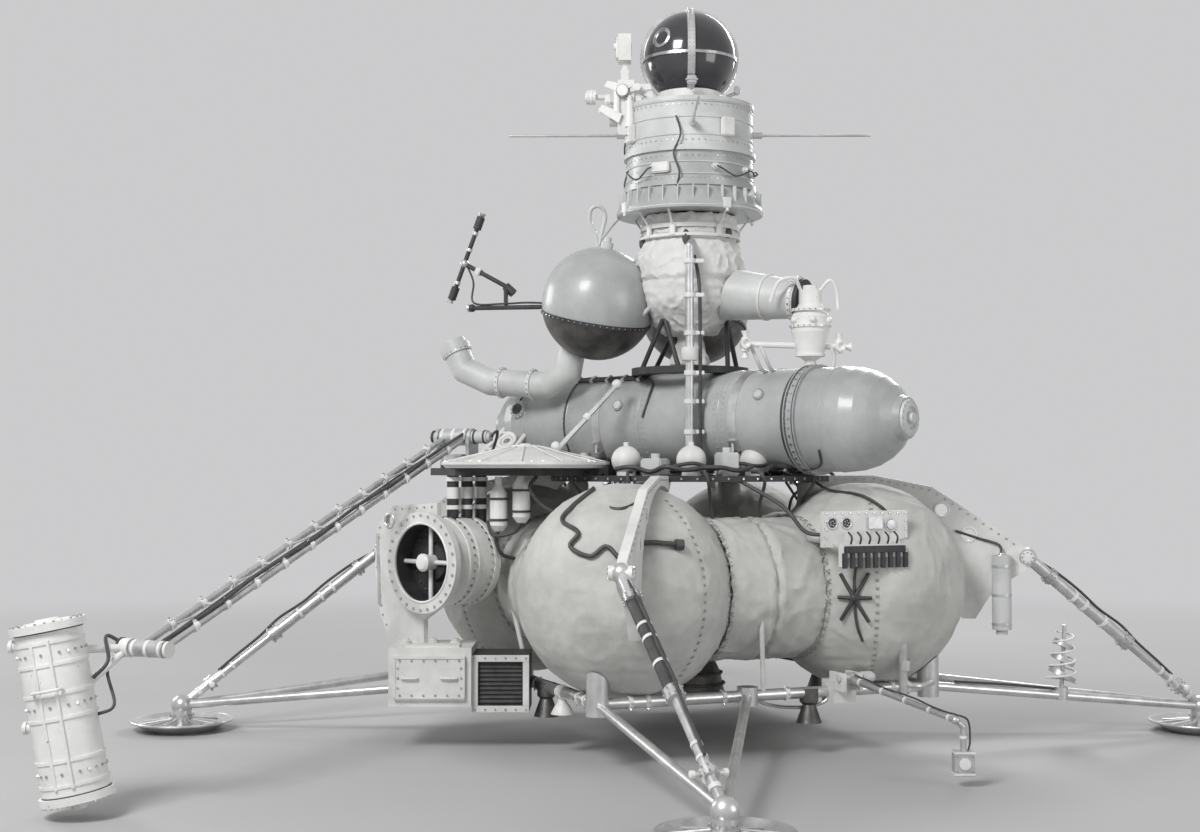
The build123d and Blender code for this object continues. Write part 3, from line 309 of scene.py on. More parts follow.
class Fittings:
    """One mesh under construction."""

    def __init__(self):
        self.mesh = bmesh.new()

    def ring(self, matrix, radius, along, sides):
        turns = [2 * math.pi * n / sides for n in range(sides)]
        return [self.mesh.verts.new(matrix @ Vector((radius * math.cos(t), radius * math.sin(t),
                                                     along))) for t in turns]

    def rod(self, a, b, r, r_end=None, sides=20):
        a, b = Vector(a), Vector(b)
        bmesh.ops.create_cone(self.mesh, cap_ends=True, segments=sides, radius1=r, depth=(b - a).length,
                              radius2=r if r_end is None else r_end, matrix=facing((a + b) / 2, b - a))

    def ball(self, centre, r, squash=(1, 1, 1), sides=20):
        bmesh.ops.create_uvsphere(self.mesh, u_segments=sides, v_segments=sides // 2, radius=r,
                                  matrix=Matrix.Translation(centre) @ Matrix.Diagonal((*squash, 1)))

    def box(self, centre, size, toward=(0, 0, 1), turn=0.0, ease=0.006):
        matrix = facing(centre, toward) @ Matrix.Rotation(math.radians(turn), 4,
                                                          "Z") @ Matrix.Diagonal((*size, 1))
        made = bmesh.ops.create_cube(self.mesh, size=1, matrix=matrix)
        edges = list({e for v in made["verts"] for e in v.link_edges})
        bmesh.ops.bevel(self.mesh, geom=edges, offset=min(ease, min(size) * 0.3), segments=2, affect="EDGES")

    def turned(self, origin, toward, profile, sides=48):
        """Closed solid of revolution from (distance along the axis, radius) pairs, shut at both ends."""
        if profile[0][1]:
            profile = [(profile[0][0], 0), *profile]
        if profile[-1][1]:
            profile = [*profile, (profile[-1][0], 0)]
        matrix = facing(origin, toward)
        rings = [self.ring(matrix, radius, along, sides if radius else 1) for along, radius in profile]
        for low, high in zip(rings, rings[1:]):
            for n in range(sides):
                m = (n + 1) % sides
                quad = [low[n % len(low)], low[m % len(low)], high[m % len(high)], high[n % len(high)]]
                corners = list(dict.fromkeys(quad))
                if len(corners) > 2:
                    self.mesh.faces.new(corners)

    def cap(self, origin, toward, radius, height, sides=28):
        """Plain disc that stands on a point."""
        self.turned(origin, toward, [(0, radius), (height, radius)], sides)

    def skin(self, loops):
        """Quads between one loop of vertices and the next."""
        for low, high in zip(loops, loops[1:]):
            for n in range(len(low)):
                m = (n + 1) % len(low)
                self.mesh.faces.new((low[n], low[m], high[m], high[n]))

    def closed_ring(self, centre, axis, section, sides):
        """Ring with a closed section of (distance along the axis, radius) pairs."""
        matrix = facing(centre, axis)
        loops = [self.ring(matrix, radius, along, sides) for along, radius in section]
        self.skin([*loops, loops[0]])

    def hoop(self, centre, axis, radius, thick, wide, sides=64):
        """Flat band round an axis; thick is radial and wide is along the axis."""
        inner = radius - thick
        self.closed_ring(centre, axis, [(-wide / 2, inner), (-wide / 2, radius), (wide / 2, radius),
                                        (wide / 2, inner)],
                         sides)

    def torus(self, centre, axis, radius, r, sides=64, around=10):
        turns = [2 * math.pi * k / around for k in range(around)]
        self.closed_ring(centre, axis, [(r * math.sin(t), radius + r * math.cos(t)) for t in turns], sides)

    def hose(self, points, r, sides=10, steps=6):
        """Round tube along a smooth line through the points."""
        line = smooth_path(points, steps) if steps > 1 else points
        side = (line[1] - line[0]).orthogonal().normalized()
        turns = [2 * math.pi * k / sides for k in range(sides)]
        rings = []
        for n, p in enumerate(line):
            along = (line[min(n + 1, len(line) - 1)] - line[max(n - 1, 0)]).normalized()
            side = (side - along * side.dot(along)).normalized()
            other = along.cross(side)
            spokes = [side * math.cos(t) + other * math.sin(t) for t in turns]
            rings.append([self.mesh.verts.new(p + spoke * r) for spoke in spokes])
        self.skin(rings)
        self.mesh.faces.new(rings[0][::-1])
        self.mesh.faces.new(rings[-1])

    def plate(self, outline, thick):
        """Flat sheet with the given 3-D outline, thickened on both sides of it."""
        pts = [Vector(p) for p in outline]
        normal = (pts[1] - pts[0]).cross(pts[2] - pts[0]).normalized() * thick / 2
        low, top = [[self.mesh.verts.new(p + shift) for p in pts] for shift in (-normal, normal)]
        self.skin([low, top])
        self.mesh.faces.new(low[::-1])
        self.mesh.faces.new(top)

    def done(self, name, material, body="lander"):
        bmesh.ops.recalc_face_normals(self.mesh, faces=self.mesh.faces)
        mesh = bpy.data.meshes.new(name)
        self.mesh.to_mesh(mesh)
        self.mesh.free()
        return settle(name, mesh, material, body)


def settle(name, mesh, material, body):
    """Make the object, smooth it, give it its finish and its body."""
    mesh.shade_smooth()
    mesh.set_sharp_from_angle(angle=math.radians(34))
    if material.name not in mesh.materials:
        mesh.materials.clear()
        mesh.materials.append(material)
    obj = bpy.data.objects.new(name, mesh)
    scene.collection.objects.link(obj)
    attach(obj, body)
    print(name, len(mesh.polygons), "faces on", body)
    return obj


# %% [markdown]
# Whatever repeats is placed by Geometry Nodes. Each tree takes loose points that carry two directions, "out"
# and "along", puts one small instance on each, turns it by both, and ends in Realize Instances and Set
# Material. A helper builds that shared end once, so a new kind of repeated part is only its own few nodes.


# %% Helper for trees that put a part on points
def points_tree(name, sizes, make_part):
    """Node group with named size inputs; make_part adds the instanced part and returns it."""
    tree = bpy.data.node_groups.new(name, "GeometryNodeTree")
    sockets = [("Points", "Geometry", None), *sizes, ("Wobble", "Float", 0.0), ("Seed", "Int", 7),
               ("Finish", "Material", None)]
    for label, kind, value in sockets:
        socket = tree.interface.new_socket(label, in_out="INPUT", socket_type="NodeSocket" + kind)
        if value is not None:
            socket.default_value = value
    tree.interface.new_socket("Parts", in_out="OUTPUT", socket_type="NodeSocketGeometry")
    start = add(tree, "NodeGroupInput").outputs
    out, along = [add(tree, "GeometryNodeInputNamedAttribute", {"Name": label}, data_type="FLOAT_VECTOR")
                  for label in ("out", "along")]
    axes = add(tree, "FunctionNodeAxesToRotation", {"Primary Axis": out, "Secondary Axis": along},
               primary_axis="Z", secondary_axis="X")
    less = add(tree, "ShaderNodeMath", {0: start["Wobble"], 1: -1.0}, operation="MULTIPLY")
    jitter = add(tree, "FunctionNodeRandomValue", {0: less, 1: start["Wobble"], "Seed": start["Seed"]},
                 data_type="FLOAT_VECTOR")
    spun = add(tree, "FunctionNodeRotateRotation", {"Rotation": axes, "Rotate By": jitter},
               rotation_space="LOCAL")
    each = add(tree, "GeometryNodeInstanceOnPoints", {"Points": start["Points"],
                                                      "Instance": make_part(tree, start), "Rotation": spun})
    real = add(tree, "GeometryNodeRealizeInstances", {0: each})
    paint = add(tree, "GeometryNodeSetMaterial", {"Geometry": real, "Material": start["Finish"]})
    add(tree, "NodeGroupOutput", {0: paint})
    return tree


def evaluated(obj):
    """Plain mesh of an object with its modifiers applied; the object goes."""
    mesh = bpy.data.meshes.new_from_object(obj.evaluated_get(bpy.context.evaluated_depsgraph_get()))
    obj.modifiers.clear()
    bpy.data.objects.remove(obj)
    return mesh


def holder(mesh):
    obj = bpy.data.objects.new("holder", mesh)
    scene.collection.objects.link(obj)
    return obj


def place_parts(name, tree, spots, material, body="lander", **sizes):
    """Run a tree on spots, a list of (point, out, along), and settle the result as one object."""
    mesh = bpy.data.meshes.new(name + "_points")
    mesh.from_pydata([tuple(s[0]) for s in spots], [], [])
    for k, label in ((1, "out"), (2, "along")):
        layer = mesh.attributes.new(label, "FLOAT_VECTOR", "POINT")
        layer.data.foreach_set("vector", [c for s in spots for c in Vector(s[k]).normalized()])
    values = {label.capitalize(): value for label, value in sizes.items()}
    values["Finish"] = material
    obj = holder(mesh)
    modifier = obj.modifiers.new("parts", "NODES")
    modifier.node_group = tree
    for item in tree.interface.items_tree:
        if item.in_out == "INPUT" and item.name in values:
            modifier[item.identifier] = values[item.name]
    obj.update_tag()
    return settle(name, evaluated(obj), material, body)


# %% [markdown]
# Three such parts cover most of the lander. Heads are low cones with flat tops, as rivets and bolts look from
# two metres. Crosses are two short cords laid over each other, the lacing that closes a blanket. Bars are
# small blocks: ribs, louvres, ladder rungs and connector pins.


# %% Trees for heads, crosses and bars
def head_part(tree, start):
    return add(tree, "GeometryNodeMeshCone", {"Vertices": start["Sides"], "Radius Bottom": start["Root"],
                                              "Radius Top": start["Top"], "Depth": start["Height"]})


def cross_part(tree, start):
    joined = add(tree, "GeometryNodeJoinGeometry")
    for lean in (38, -38):
        cord = add(tree, "GeometryNodeMeshCylinder", {"Vertices": 6, "Radius": start["Thread"],
                                                      "Depth": start["Length"]})
        turn = add(tree, "GeometryNodeTransform", {"Geometry": cord,
                                                   "Rotation": (math.radians(90), 0, math.radians(lean))})
        tree.links.new(turn.outputs[0], joined.inputs[0])
    return joined


def bar_part(tree, start):
    size = add(tree, "ShaderNodeCombineXYZ", {"X": start["Long"], "Y": start["Wide"], "Z": start["High"]})
    return add(tree, "GeometryNodeMeshCube", {"Size": size})


heads = points_tree("heads on points", [("Sides", "Int", 8), ("Root", "Float", 0.006),
                                        ("Top", "Float", 0.004), ("Height", "Float", 0.005)], head_part)
crosses = points_tree("laced crosses", [("Thread", "Float", 0.003), ("Length", "Float", 0.05)], cross_part)
bars = points_tree("bars on points", [("Long", "Float", 0.05), ("Wide", "Float", 0.01),
                                      ("High", "Float", 0.01)],
                   bar_part)


def bolts(name, spots, size, height, material=steel, body="lander"):
    """Straight six-sided heads."""
    place_parts(name, heads, spots, material, body, sides=6, root=size, top=size, height=height)


def rivets(name, spots, root, top, height, material=steel):
    """Low domed heads."""
    place_parts(name, heads, spots, material, sides=8, root=root, top=top, height=height)


def ring_spots(centre, axis, radius, count, outward=True, start=0.0):
    """Spots round a circle, facing away from the axis or along it."""
    matrix = facing(centre, axis)
    turn = matrix.to_3x3()
    spots = []
    for n in range(count):
        t = math.radians(start + 360 * n / count)
        spoke = turn @ Vector((math.cos(t), math.sin(t), 0))
        around = turn @ Vector((-math.sin(t), math.cos(t), 0))
        spots.append((matrix.translation + spoke * radius, spoke if outward else Vector(axis), around))
    return spots


def row_spots(a, b, count, out):
    """Spots from a to b, both included, facing one way."""
    a, b = Vector(a), Vector(b)
    return [(a.lerp(b, n / (count - 1)), Vector(out), b - a) for n in range(count)]


print("trees", len(bpy.data.node_groups))

# %% [markdown]
# The four tanks, the sections between them and the ascent body are wrapped in layered cloth. The CAD solids
# are plain balls and cylinders, so each gets a cloth skin that stands for it: a copy of the solid is remeshed
# into small even faces, seams pull it in along sewn lines, and a folded noise pushes soft creases into it.
# The noise is seeded, so that every run folds the cloth alike. Cloth simulation would give similar folds, but
# the blanket is laced tight here, and the noise keeps the tank's round outline.


# %% Blanket skins
def solid_copy(names):
    """The nodes' meshes in one, with doubled points merged."""
    shell = bmesh.new()
    for name in names:
        shell.from_mesh(nodes[name].data)
    bmesh.ops.remove_doubles(shell, verts=shell.verts, dist=0.0002)
    mesh = bpy.data.meshes.new("solid_copy")
    shell.to_mesh(mesh)
    shell.free()
    return mesh


def even_mesh(mesh, voxel):
    obj = holder(mesh)
    remesh = obj.modifiers.new("even", "REMESH")
    remesh.mode = "VOXEL"
    remesh.voxel_size = voxel
    result = evaluated(obj)
    result.materials.clear()
    return result


def creases(point, size, shift):
    """Soft folds between 0 and 1: a ridged noise read at a place that another noise has bent."""
    p = point / size + Vector((shift, shift * 0.7, -shift))
    bend = noise.noise_vector(p * 0.6) * 0.9
    ridge = 1 - abs(noise.noise(p + bend))
    small = 1 - abs(noise.noise(p * 2.7 + bend * 2))
    return 0.68 * ridge ** 3 + 0.32 * small ** 2


def wrap(name, node, material, voxel, fold, size, seams, tuck, shift):
    """Cloth skin over a node. seams are (point on the plane, normal of the plane) pairs."""
    mesh = even_mesh(solid_copy([node]), voxel)
    smooth = bmesh.new()
    smooth.from_mesh(mesh)
    for _ in range(3):
        bmesh.ops.smooth_vert(smooth, verts=smooth.verts, factor=0.5, use_axis_x=True, use_axis_y=True,
                              use_axis_z=True)
    smooth.normal_update()
    for vert in smooth.verts:
        out = vert.normal.copy()
        lift = fold * (creases(vert.co, size, shift) - 0.75)
        for at, normal in seams:
            away = abs((vert.co - at).dot(normal))
            if away < 0.06:
                lift -= tuck * math.exp(-(away / 0.011) ** 2)
                lift += tuck * 0.35 * math.exp(-((away - 0.032) / 0.014) ** 2)
        vert.co += out * lift
    smooth.to_mesh(mesh)
    smooth.free()
    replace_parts(settle(name, mesh, material, "lander"), node)


TANK_REACH, TANK_Z, TANK_R = 0.952, 0.820, 0.535
TANKS = {"front": -112.5, "right": -22.5, "back": 67.5, "left": 157.5}


def compass(reach, degrees, z):
    """Point at a reach from the vertical axis; degrees run anticlockwise from +X."""
    return Vector((reach * math.cos(math.radians(degrees)), reach * math.sin(math.radians(degrees)), z))


def shifted(origin, *shifts):
    """Points given by their distance from one point."""
    return [origin + Vector(shift) for shift in shifts]


def round_axis(degrees, *places):
    """Points round the vertical axis, each a reach, a shift in degrees and a height."""
    return [compass(reach, degrees + shift, z) for reach, shift, z in places]


UP = Vector((0, 0, 1))
noise.seed_set(5)
for number, (side, turn) in enumerate(TANKS.items()):
    centre = compass(TANK_REACH, turn, TANK_Z)
    gores = [(centre, compass(1, turn + 22.5 + 45 * n, 0)) for n in range(4)]
    levels = [(centre + UP * z, UP) for z in (-0.36, 0.40)]
    wrap(f"Blanket_tank_{side}", f"Tank_{side}", blanket, 0.016, 0.010, 0.17, gores + levels, 0.0022,
         number * 3.1)
middles = [(compass(0, 0, 0), compass(1, turn - 45, 0)) for turn in TANKS.values()]
wrap("Blanket_between_tanks", "Intertank_sections", blanket, 0.018, 0.016, 0.13, middles, 0.008, 9.0)
wrap("Blanket_ascent_body", "Ascent_body", bright_blanket, 0.011, 0.020, 0.085,
     [(UP * z, UP) for z in (2.67, 2.44)], 0.008, 5.0)

# %% [markdown]
# The blankets are closed with laced seams. The trees above lay a cross of cord every few centimetres along
# each seam line, a little unevenly. The lines follow the balls, so they are plain circles cut short where a
# ball meets a section.


# %% Lacing
def seam_spots(centre, radius, start, end, count, heading):
    """Spots on an upright great circle of a ball, from one height angle to another."""
    flat = compass(1, heading, 0)
    spots = []
    for n in range(count):
        t = math.radians(start + (end - start) * n / (count - 1))
        out = flat * math.cos(t) + UP * math.sin(t)
        spots.append((centre + out * radius, out, UP * math.cos(t) - flat * math.sin(t)))
    return spots


lines, edges = [], []
for turn in TANKS.values():
    centre = compass(TANK_REACH, turn, TANK_Z)
    for lean in (-67.5, 67.5):
        lines += seam_spots(centre, TANK_R - 0.002, -50, 58, 26, turn + lean)
    for lean in (-135, 135):
        toward = compass(1, turn + lean, 0)
        edges += [s for s in ring_spots(centre + toward * 0.408, toward, 0.366, 46) if s[0].xy.length > 0.74]
place_parts("Lacing_tanks", crosses, lines, thread, thread=0.0014, length=0.024, wobble=0.10, seed=4)
place_parts("Lacing_sections", crosses, edges, thread, thread=0.002, length=0.040, wobble=0.14, seed=5)

# %% [markdown]
# The capsule is a dark glazed ball under two bright hoops. Its hoops get a row of rivets and tension buckles,
# and the ball gets a small round port with a bright rim on its left, where the photograph shows one.

# %% Capsule
CAPSULE = UP * 3.690
ports = Fittings()
for aim in ((-0.62, -0.72, 0.28), (0.70, 0.66, 0.2)):
    out = Vector(aim).normalized()
    ports.turned(CAPSULE + out * 0.236, out, [(0, 0.058), (0.018, 0.058), (0.024, 0.048), (0.016, 0.044)], 40)
ports.hoop(CAPSULE - UP * 0.02, UP, 0.262, 0.008, 0.016)
ports.done("Capsule_ports", steel)
spots = []
for axis in (Vector((0, 1, 0)), Vector((1, 0, 0))):
    for shift in (-0.013, 0.013):
        spots += [s for s in ring_spots(CAPSULE + axis * shift, axis, 0.2695, 72) if s[0].z > 3.52]
rivets("Capsule_hoop_rivets", spots, 0.0036, 0.0026, 0.0032)
buckles = Fittings()
for turn in (0, 90, 180, 270):
    buckles.box(compass(0.262, turn, 3.512), (0.030, 0.052, 0.044), turn=turn, ease=0.005)
    buckles.rod(compass(0.276, turn - 7, 3.512), compass(0.276, turn + 7, 3.512), 0.006)
    buckles.rod(compass(0.205, turn, 3.478), compass(0.262, turn, 3.500), 0.010)
buckles.done("Capsule_buckles", alloy)

# %% [markdown]
# The two instrument drums have rolled beads, riveted seams and a few small boxes, plugs and cable loops. Thin
# beads catch the light as lines, which is what makes sheet metal read as sheet metal.

# %% Drum beads, ribs and rivets
beads = Fittings()
for z in (3.300, 3.205, 3.060, 2.995):
    beads.torus((0, 0, z), UP, 0.3465, 0.005)
for z, r in ((3.385, 0.3466), (2.822, 0.3971)):
    beads.torus((0, 0, z), UP, r, 0.006)
beads.done("Drum_beads", pale_grey)
spots = []
for z in (3.366, 3.176, 3.092, 2.972):
    spots += ring_spots((0, 0, z), UP, 0.3455, 64)
rivets("Drum_rivets", spots, 0.005, 0.0034, 0.0045)
ribs = ring_spots((0, 0, 2.885), UP, 0.383, 30, start=6)
place_parts("Skirt_ribs", bars, ribs, pale_grey, long=0.006, wide=0.09, high=0.022)

# %% Drum fittings
fitted = Fittings()
for turn, z, size in ((-58, 3.25, (0.075, 0.035, 0.10)), (-118, 3.03, (0.10, 0.03, 0.055)),
                      (25, 3.22, (0.09, 0.04, 0.12)), (100, 3.24, (0.12, 0.04, 0.14)),
                      (150, 3.02, (0.08, 0.03, 0.06)), (205, 3.24, (0.07, 0.04, 0.10)),
                      (-20, 3.03, (0.06, 0.03, 0.05))):
    fitted.box(compass(0.342 + size[1] / 2, turn, z), size, turn=turn + 90)
for turn in (-70, -35, 55, 125, 235):
    fitted.turned(compass(0.344, turn, 3.035), compass(1, turn, 0),
                  [(0, 0.019), (0.014, 0.019), (0.014, 0.013), (0.034, 0.013)], 20)
for turn in (-63, 27, 117, 207):
    fitted.box(compass(0.396, turn, 2.835), (0.045, 0.030, 0.055), turn=turn + 90, ease=0.004)
    fitted.rod(compass(0.396, turn, 2.835), compass(0.405, turn, 2.790), 0.008)
fitted.done("Drum_boxes_and_plugs", white)
leads = Fittings()
for a, b, drop in ((-70, -35, 0.05), (-35, -20, 0.03), (55, 100, 0.07), (125, 150, 0.04), (205, 235, 0.06)):
    half = (b - a) / 2
    leads.hose(round_axis(a + half, (0.374, -half, 3.035), (0.392, 3 - half, 3.020), (0.385, 0, 3.035 - drop),
                          (0.392, half - 3, 3.020), (0.374, half, 3.035)), 0.0045, 8)
for turn in (-104, 40, 160):
    leads.hose(round_axis(turn, (0.362, 0, 3.30), (0.372, 4, 3.20), (0.366, -2, 3.10), (0.374, 3, 3.00),
                          (0.352, 0, 2.92)), 0.005, 8)
leads.done("Drum_leads", rubber)

# %% [markdown]
# At the capsule's left sits the latch gear of the sample hatch. In the photograph it is a bright jumble of
# levers, springs, a pinion and a round motor. The CAD has the load-bearing block, so this adds the parts that
# stand out from it, each fixed to the block.

# %% Hatch latch gear
LATCH = Vector((-0.352, -0.085, 0))
latch = Fittings()
for start, run, r, sides in (((-0.05, -0.066, 3.36), (0, 0, 0.14), 0.018, 20),
                             ((0.02, -0.068, 3.28), (0, 0, 0.14), 0.026, 20),
                             ((0.02, -0.068, 3.42), (0, 0, 0.03), 0.015, 20),
                             ((-0.02, -0.062, 3.475), (0, -0.036, 0), 0.030, 28),
                             ((0.06, -0.046, 3.495), (0, -0.044, 0), 0.020, 20),
                             ((-0.02, 0.060, 3.36), (0, 0.04, 0), 0.032, 28),
                             ((-0.222, 0, 3.457), (0.032, 0, 0), 0.022, 20)):
    latch.rod(LATCH + Vector(start), LATCH + Vector(start) + Vector(run), r, sides=sides)
latch.box(LATCH + Vector((-0.075, -0.02, 3.44)), (0.07, 0.05, 0.05), turn=28.648)
latch.box(LATCH + Vector((-0.105, 0.02, 3.39)), (0.09, 0.03, 0.035), turn=-17.189)
for thick, *outline in ((0.012, (-0.04, -0.074, 3.30), (-0.15, -0.074, 3.37), (-0.13, -0.074, 3.40),
                         (-0.02, -0.074, 3.35)),
                        (0.010, (-0.02, -0.076, 3.46), (-0.12, -0.076, 3.50), (-0.10, -0.076, 3.53),
                         (0.03, -0.076, 3.50)),
                        (0.012, (0.02, -0.070, 3.47), (0.14, -0.050, 3.49), (0.13, -0.050, 3.52),
                         (0.02, -0.070, 3.51))):
    latch.plate(shifted(LATCH, *outline), thick)
latch.torus(LATCH + Vector((-0.188, 0, 3.457)), (1, 0, 0), 0.036, 0.007, 32)
latch.done("Hatch_levers", bright)
teeth = ring_spots(LATCH + Vector((-0.02, -0.080, 3.475)), (0, 1, 0), 0.030, 16)
place_parts("Hatch_pinion_teeth", bars, teeth, steel, long=0.006, wide=0.026, high=0.014)
spring = Fittings()
turns = [math.pi * n / 5 for n in range(70)]
coil = [(0.10 + 0.013 * math.cos(t), -0.075 + 0.013 * math.sin(t), 3.30 + 0.0038 * t) for t in turns]
spring.hose(shifted(LATCH, *coil), 0.0028, 6, steps=1)
spring.hose(shifted(LATCH, (0.10, -0.062, 3.30), (0.03, -0.09, 3.25), (-0.02, -0.07, 3.22)), 0.004, 8)
spring.done("Hatch_spring", steel)
LID = Vector((-0.404, -0.085, 3.722))
lid = Fittings()
lid.box(LID + Vector((0.006, 0, 0)), (0.012, 0.085, 0.115), ease=0.004)
lid.rod(*shifted(LID, (0, 0, 0.013), (-0.014, 0, 0.013)), 0.020)
lid.torus(LID + Vector((0.079, 0, 0)), (1, 0, 0), 0.038, 0.006, 32)
lid.done("Hatch_lid_ring", bright, "hatch")
spots = [(LID + Vector((0, y, z)), (-1, 0, 0), UP) for y in (-0.034, 0.034) for z in (-0.048, 0.048)]
bolts("Hatch_lid_screws", spots, 0.005, 0.004, body="hatch")

# %% [markdown]
# The blanket on the ascent body is gathered at its neck by two straps, and hooks hang it from the skirt.
# The shade in the creases between the folds is painted: a few dark cloth blobs lie in them.

# %% Neck straps
straps = Fittings()
straps.hoop((0, 0, 2.735), UP, 0.272, 0.010, 0.022)
straps.hoop((0, 0, 2.682), UP, 0.280, 0.010, 0.016)
for turn in (-112, -58, 12, 80, 150, 215):
    straps.box(compass(0.276, turn, 2.71), (0.03, 0.018, 0.07), turn=turn + 90, ease=0.004)
    straps.rod(compass(0.285, turn, 2.74), compass(0.345, turn, 2.815), 0.006)
straps.done("Neck_straps", white)
# Painted shade: dark cloth blobs set into the blanket's creases.
crease_shade_blobs = Fittings()
for turn, z, tall in ((-97, 2.66, 0.10), (-40, 2.70, 0.06), (35, 2.66, 0.08), (110, 2.68, 0.08),
                      (190, 2.66, 0.09)):
    crease_shade_blobs.ball(compass(0.262, turn, z), 0.03, (0.7, 0.7, tall / 0.06), 14)
crease_shade_blobs.done("Neck_painted_crease_shade", crease_shade_cloth)

# %% [markdown]
# The ball tanks of the ascent stage are spun halves with a weld band low round each. The lower half of each
# is dark with shade, and that shade is painted as a thin dark cap over it. On top is a looped fill pipe in
# a fork.

# %% Ascent tanks
LEFT_BALL, BACK_BALL = compass(0.505, 177, 2.337), compass(0.505, 84, 2.337)
BALL_R = 0.310
BAND_DROP = 0.085
bands, shade_caps, pipes = Fittings(), Fittings(), Fittings()
spots = []
for ball_at, lean in ((LEFT_BALL, (0.16, -0.22, 1)), (BACK_BALL, (0.1, 0.2, 1))):
    axis = Vector(lean).normalized()
    bands.hoop(ball_at - axis * BAND_DROP, axis, math.sqrt(BALL_R ** 2 - BAND_DROP ** 2) + 0.007, 0.012,
               0.020)
    angles = [math.radians(a) for a in range(-84, -16, 6)]
    # Painted shade: a thin dark cap over each ball's lower half stands for the shadow there.
    shade_cap_r = BALL_R + 0.0025
    shade_caps.turned(ball_at, axis, [(-shade_cap_r, 0), *((math.sin(a) * shade_cap_r, math.cos(a) * shade_cap_r) for a in angles)],
                64)
    top = ball_at + axis * BALL_R
    pipes.rod(top - axis * 0.01, top + axis * 0.03, 0.034)
    pipes.rod(top + axis * 0.02, top + axis * 0.06, 0.020)
    spots += ring_spots(ball_at - axis * BAND_DROP, axis, 0.3045, 54)
bands.done("Ascent_tank_bands", black)
shade_caps.done("Ascent_tank_painted_shade_caps", scorch_and_painted_shade)
top = LEFT_BALL + UP * BALL_R
pipes.hose(shifted(top, (0, 0, 0), (-0.012, 0, 0.07), (-0.045, 0, 0.15), (-0.035, -0.01, 0.215),
                   (0.012, -0.01, 0.225), (0.040, 0, 0.175), (0.022, 0, 0.09), (0.005, 0, 0.01)), 0.011)
pipes.hose(shifted(top, (0.02, 0, 0.05), (0.09, 0.01, 0.14), (0.16, 0.01, 0.20), (0.22, 0, 0.19)), 0.010)
for ball_at, start, turn, z in ((LEFT_BALL, (0.20, -0.10, 0.18), 200, 2.60),
                                (LEFT_BALL, (0.22, -0.15, -0.10), 215, 2.30),
                                (BACK_BALL, (-0.10, -0.20, 0.18), 100, 2.60),
                                (BACK_BALL, (0.10, -0.22, -0.10), 60, 2.30)):
    pipes.rod(ball_at + Vector(start), compass(0.27, turn, z), 0.012)
pipes.hose(shifted(BACK_BALL, (0, 0, 0.31), (0.02, 0.02, 0.38), (0.04, -0.10, 0.42), (0.02, -0.20, 0.36)),
           0.011)
pipes.done("Ascent_tank_pipes", pale_grey)
place_parts("Ascent_tank_band_bolts", heads, spots, steel, sides=6, root=0.0045, top=0.004, height=0.005)

# %% [markdown]
# To the right are the cone and the white thruster block with its ear-like jets. The cone ends in a bolted
# flange, and a dark recessed ring in its mouth paints the shade inside it. The block gets jet bells, supply
# pipes and valve knobs.

# %% Cone end and thruster details
CONE_A, CONE_B = Vector((0.060, -0.030, 2.395)), Vector((0.540, -0.330, 2.322))
cone_axis = (CONE_B - CONE_A).normalized()
# Painted shade: the black recessed ring fills the cone's mouth where its inside lies in shade.
cone_mouth_shade = Fittings()
cone_mouth_shade.turned(CONE_B + cone_axis * 0.030, cone_axis, [(0, 0.112), (0.026, 0.112), (0.026, 0.086),
                                                         (0.004, 0.076)])
cone_mouth_shade.done("Cone_end_painted_shade", black)
cone_rim = Fittings()
cone_rim.hoop(CONE_B + cone_axis * 0.018, cone_axis, 0.122, 0.012, 0.016)
cone_rim.hoop(CONE_A.lerp(CONE_B, 0.72), cone_axis, 0.125, 0.008, 0.014)
cone_rim.done("Cone_rims", white)
bolts("Cone_bolts", ring_spots(CONE_B + cone_axis * 0.018, cone_axis, 0.121, 24), 0.0055, 0.005)
BLOCK = Vector((0.610, -0.430, 0))
jets = Fittings()
for at, out in (((-0.34, -0.067, 2.078), (0, -1, 0)), ((-0.34, 0.067, 2.078), (0, 1, 0)),
                ((0.15, -0.067, 2.062), (0, -1, 0)), ((0.15, 0.067, 2.062), (0, 1, 0)),
                ((-0.34, 0, 2.118), (0, 0, 1)), ((-0.34, 0, 2.034), (0, 0, -1)),
                ((0.15, 0, 2.104), (0, 0, 1)), ((0.182, 0, 2.062), (1, 0, 0))):
    jets.turned(BLOCK + Vector(at), out, [(-0.012, 0.012), (0.0, 0.010), (0.022, 0.020), (0.030, 0.0235),
                                          (0.030, 0.020), (0.012, 0.010)], 24)
for z, r in ((2.17, 0.108), (2.255, 0.103), (2.02, 0.079)):
    jets.hoop(BLOCK + UP * z, UP, r, 0.008, 0.014)
for turn in (-150, -90, -30, 60):
    knob = BLOCK + compass(0.104, turn, 2.20)
    jets.ball(knob, 0.018, sides=14)
    jets.rod(knob, BLOCK + compass(0.075, turn, 2.09), 0.007)
jets.rod(BLOCK + UP * 2.355, BLOCK + UP * 2.385, 0.040)
jets.hose(shifted(BLOCK, (-0.05, -0.01, 2.36), (-0.09, -0.04, 2.42), (-0.17, -0.04, 2.40),
                  (-0.21, -0.01, 2.30)), 0.010)
jets.hose(shifted(BLOCK, (0.05, -0.01, 2.36), (0.10, -0.03, 2.41), (0.135, -0.02, 2.36),
                  (0.145, -0.01, 2.26)), 0.010)
jets.done("Thruster_bells", bright)
spots = ring_spots(BLOCK + UP * 2.17, UP, 0.107, 22) + ring_spots(BLOCK + UP * 2.255, UP, 0.102, 22)
bolts("Thruster_bolts", spots, 0.0045, 0.004)
feeds = Fittings()
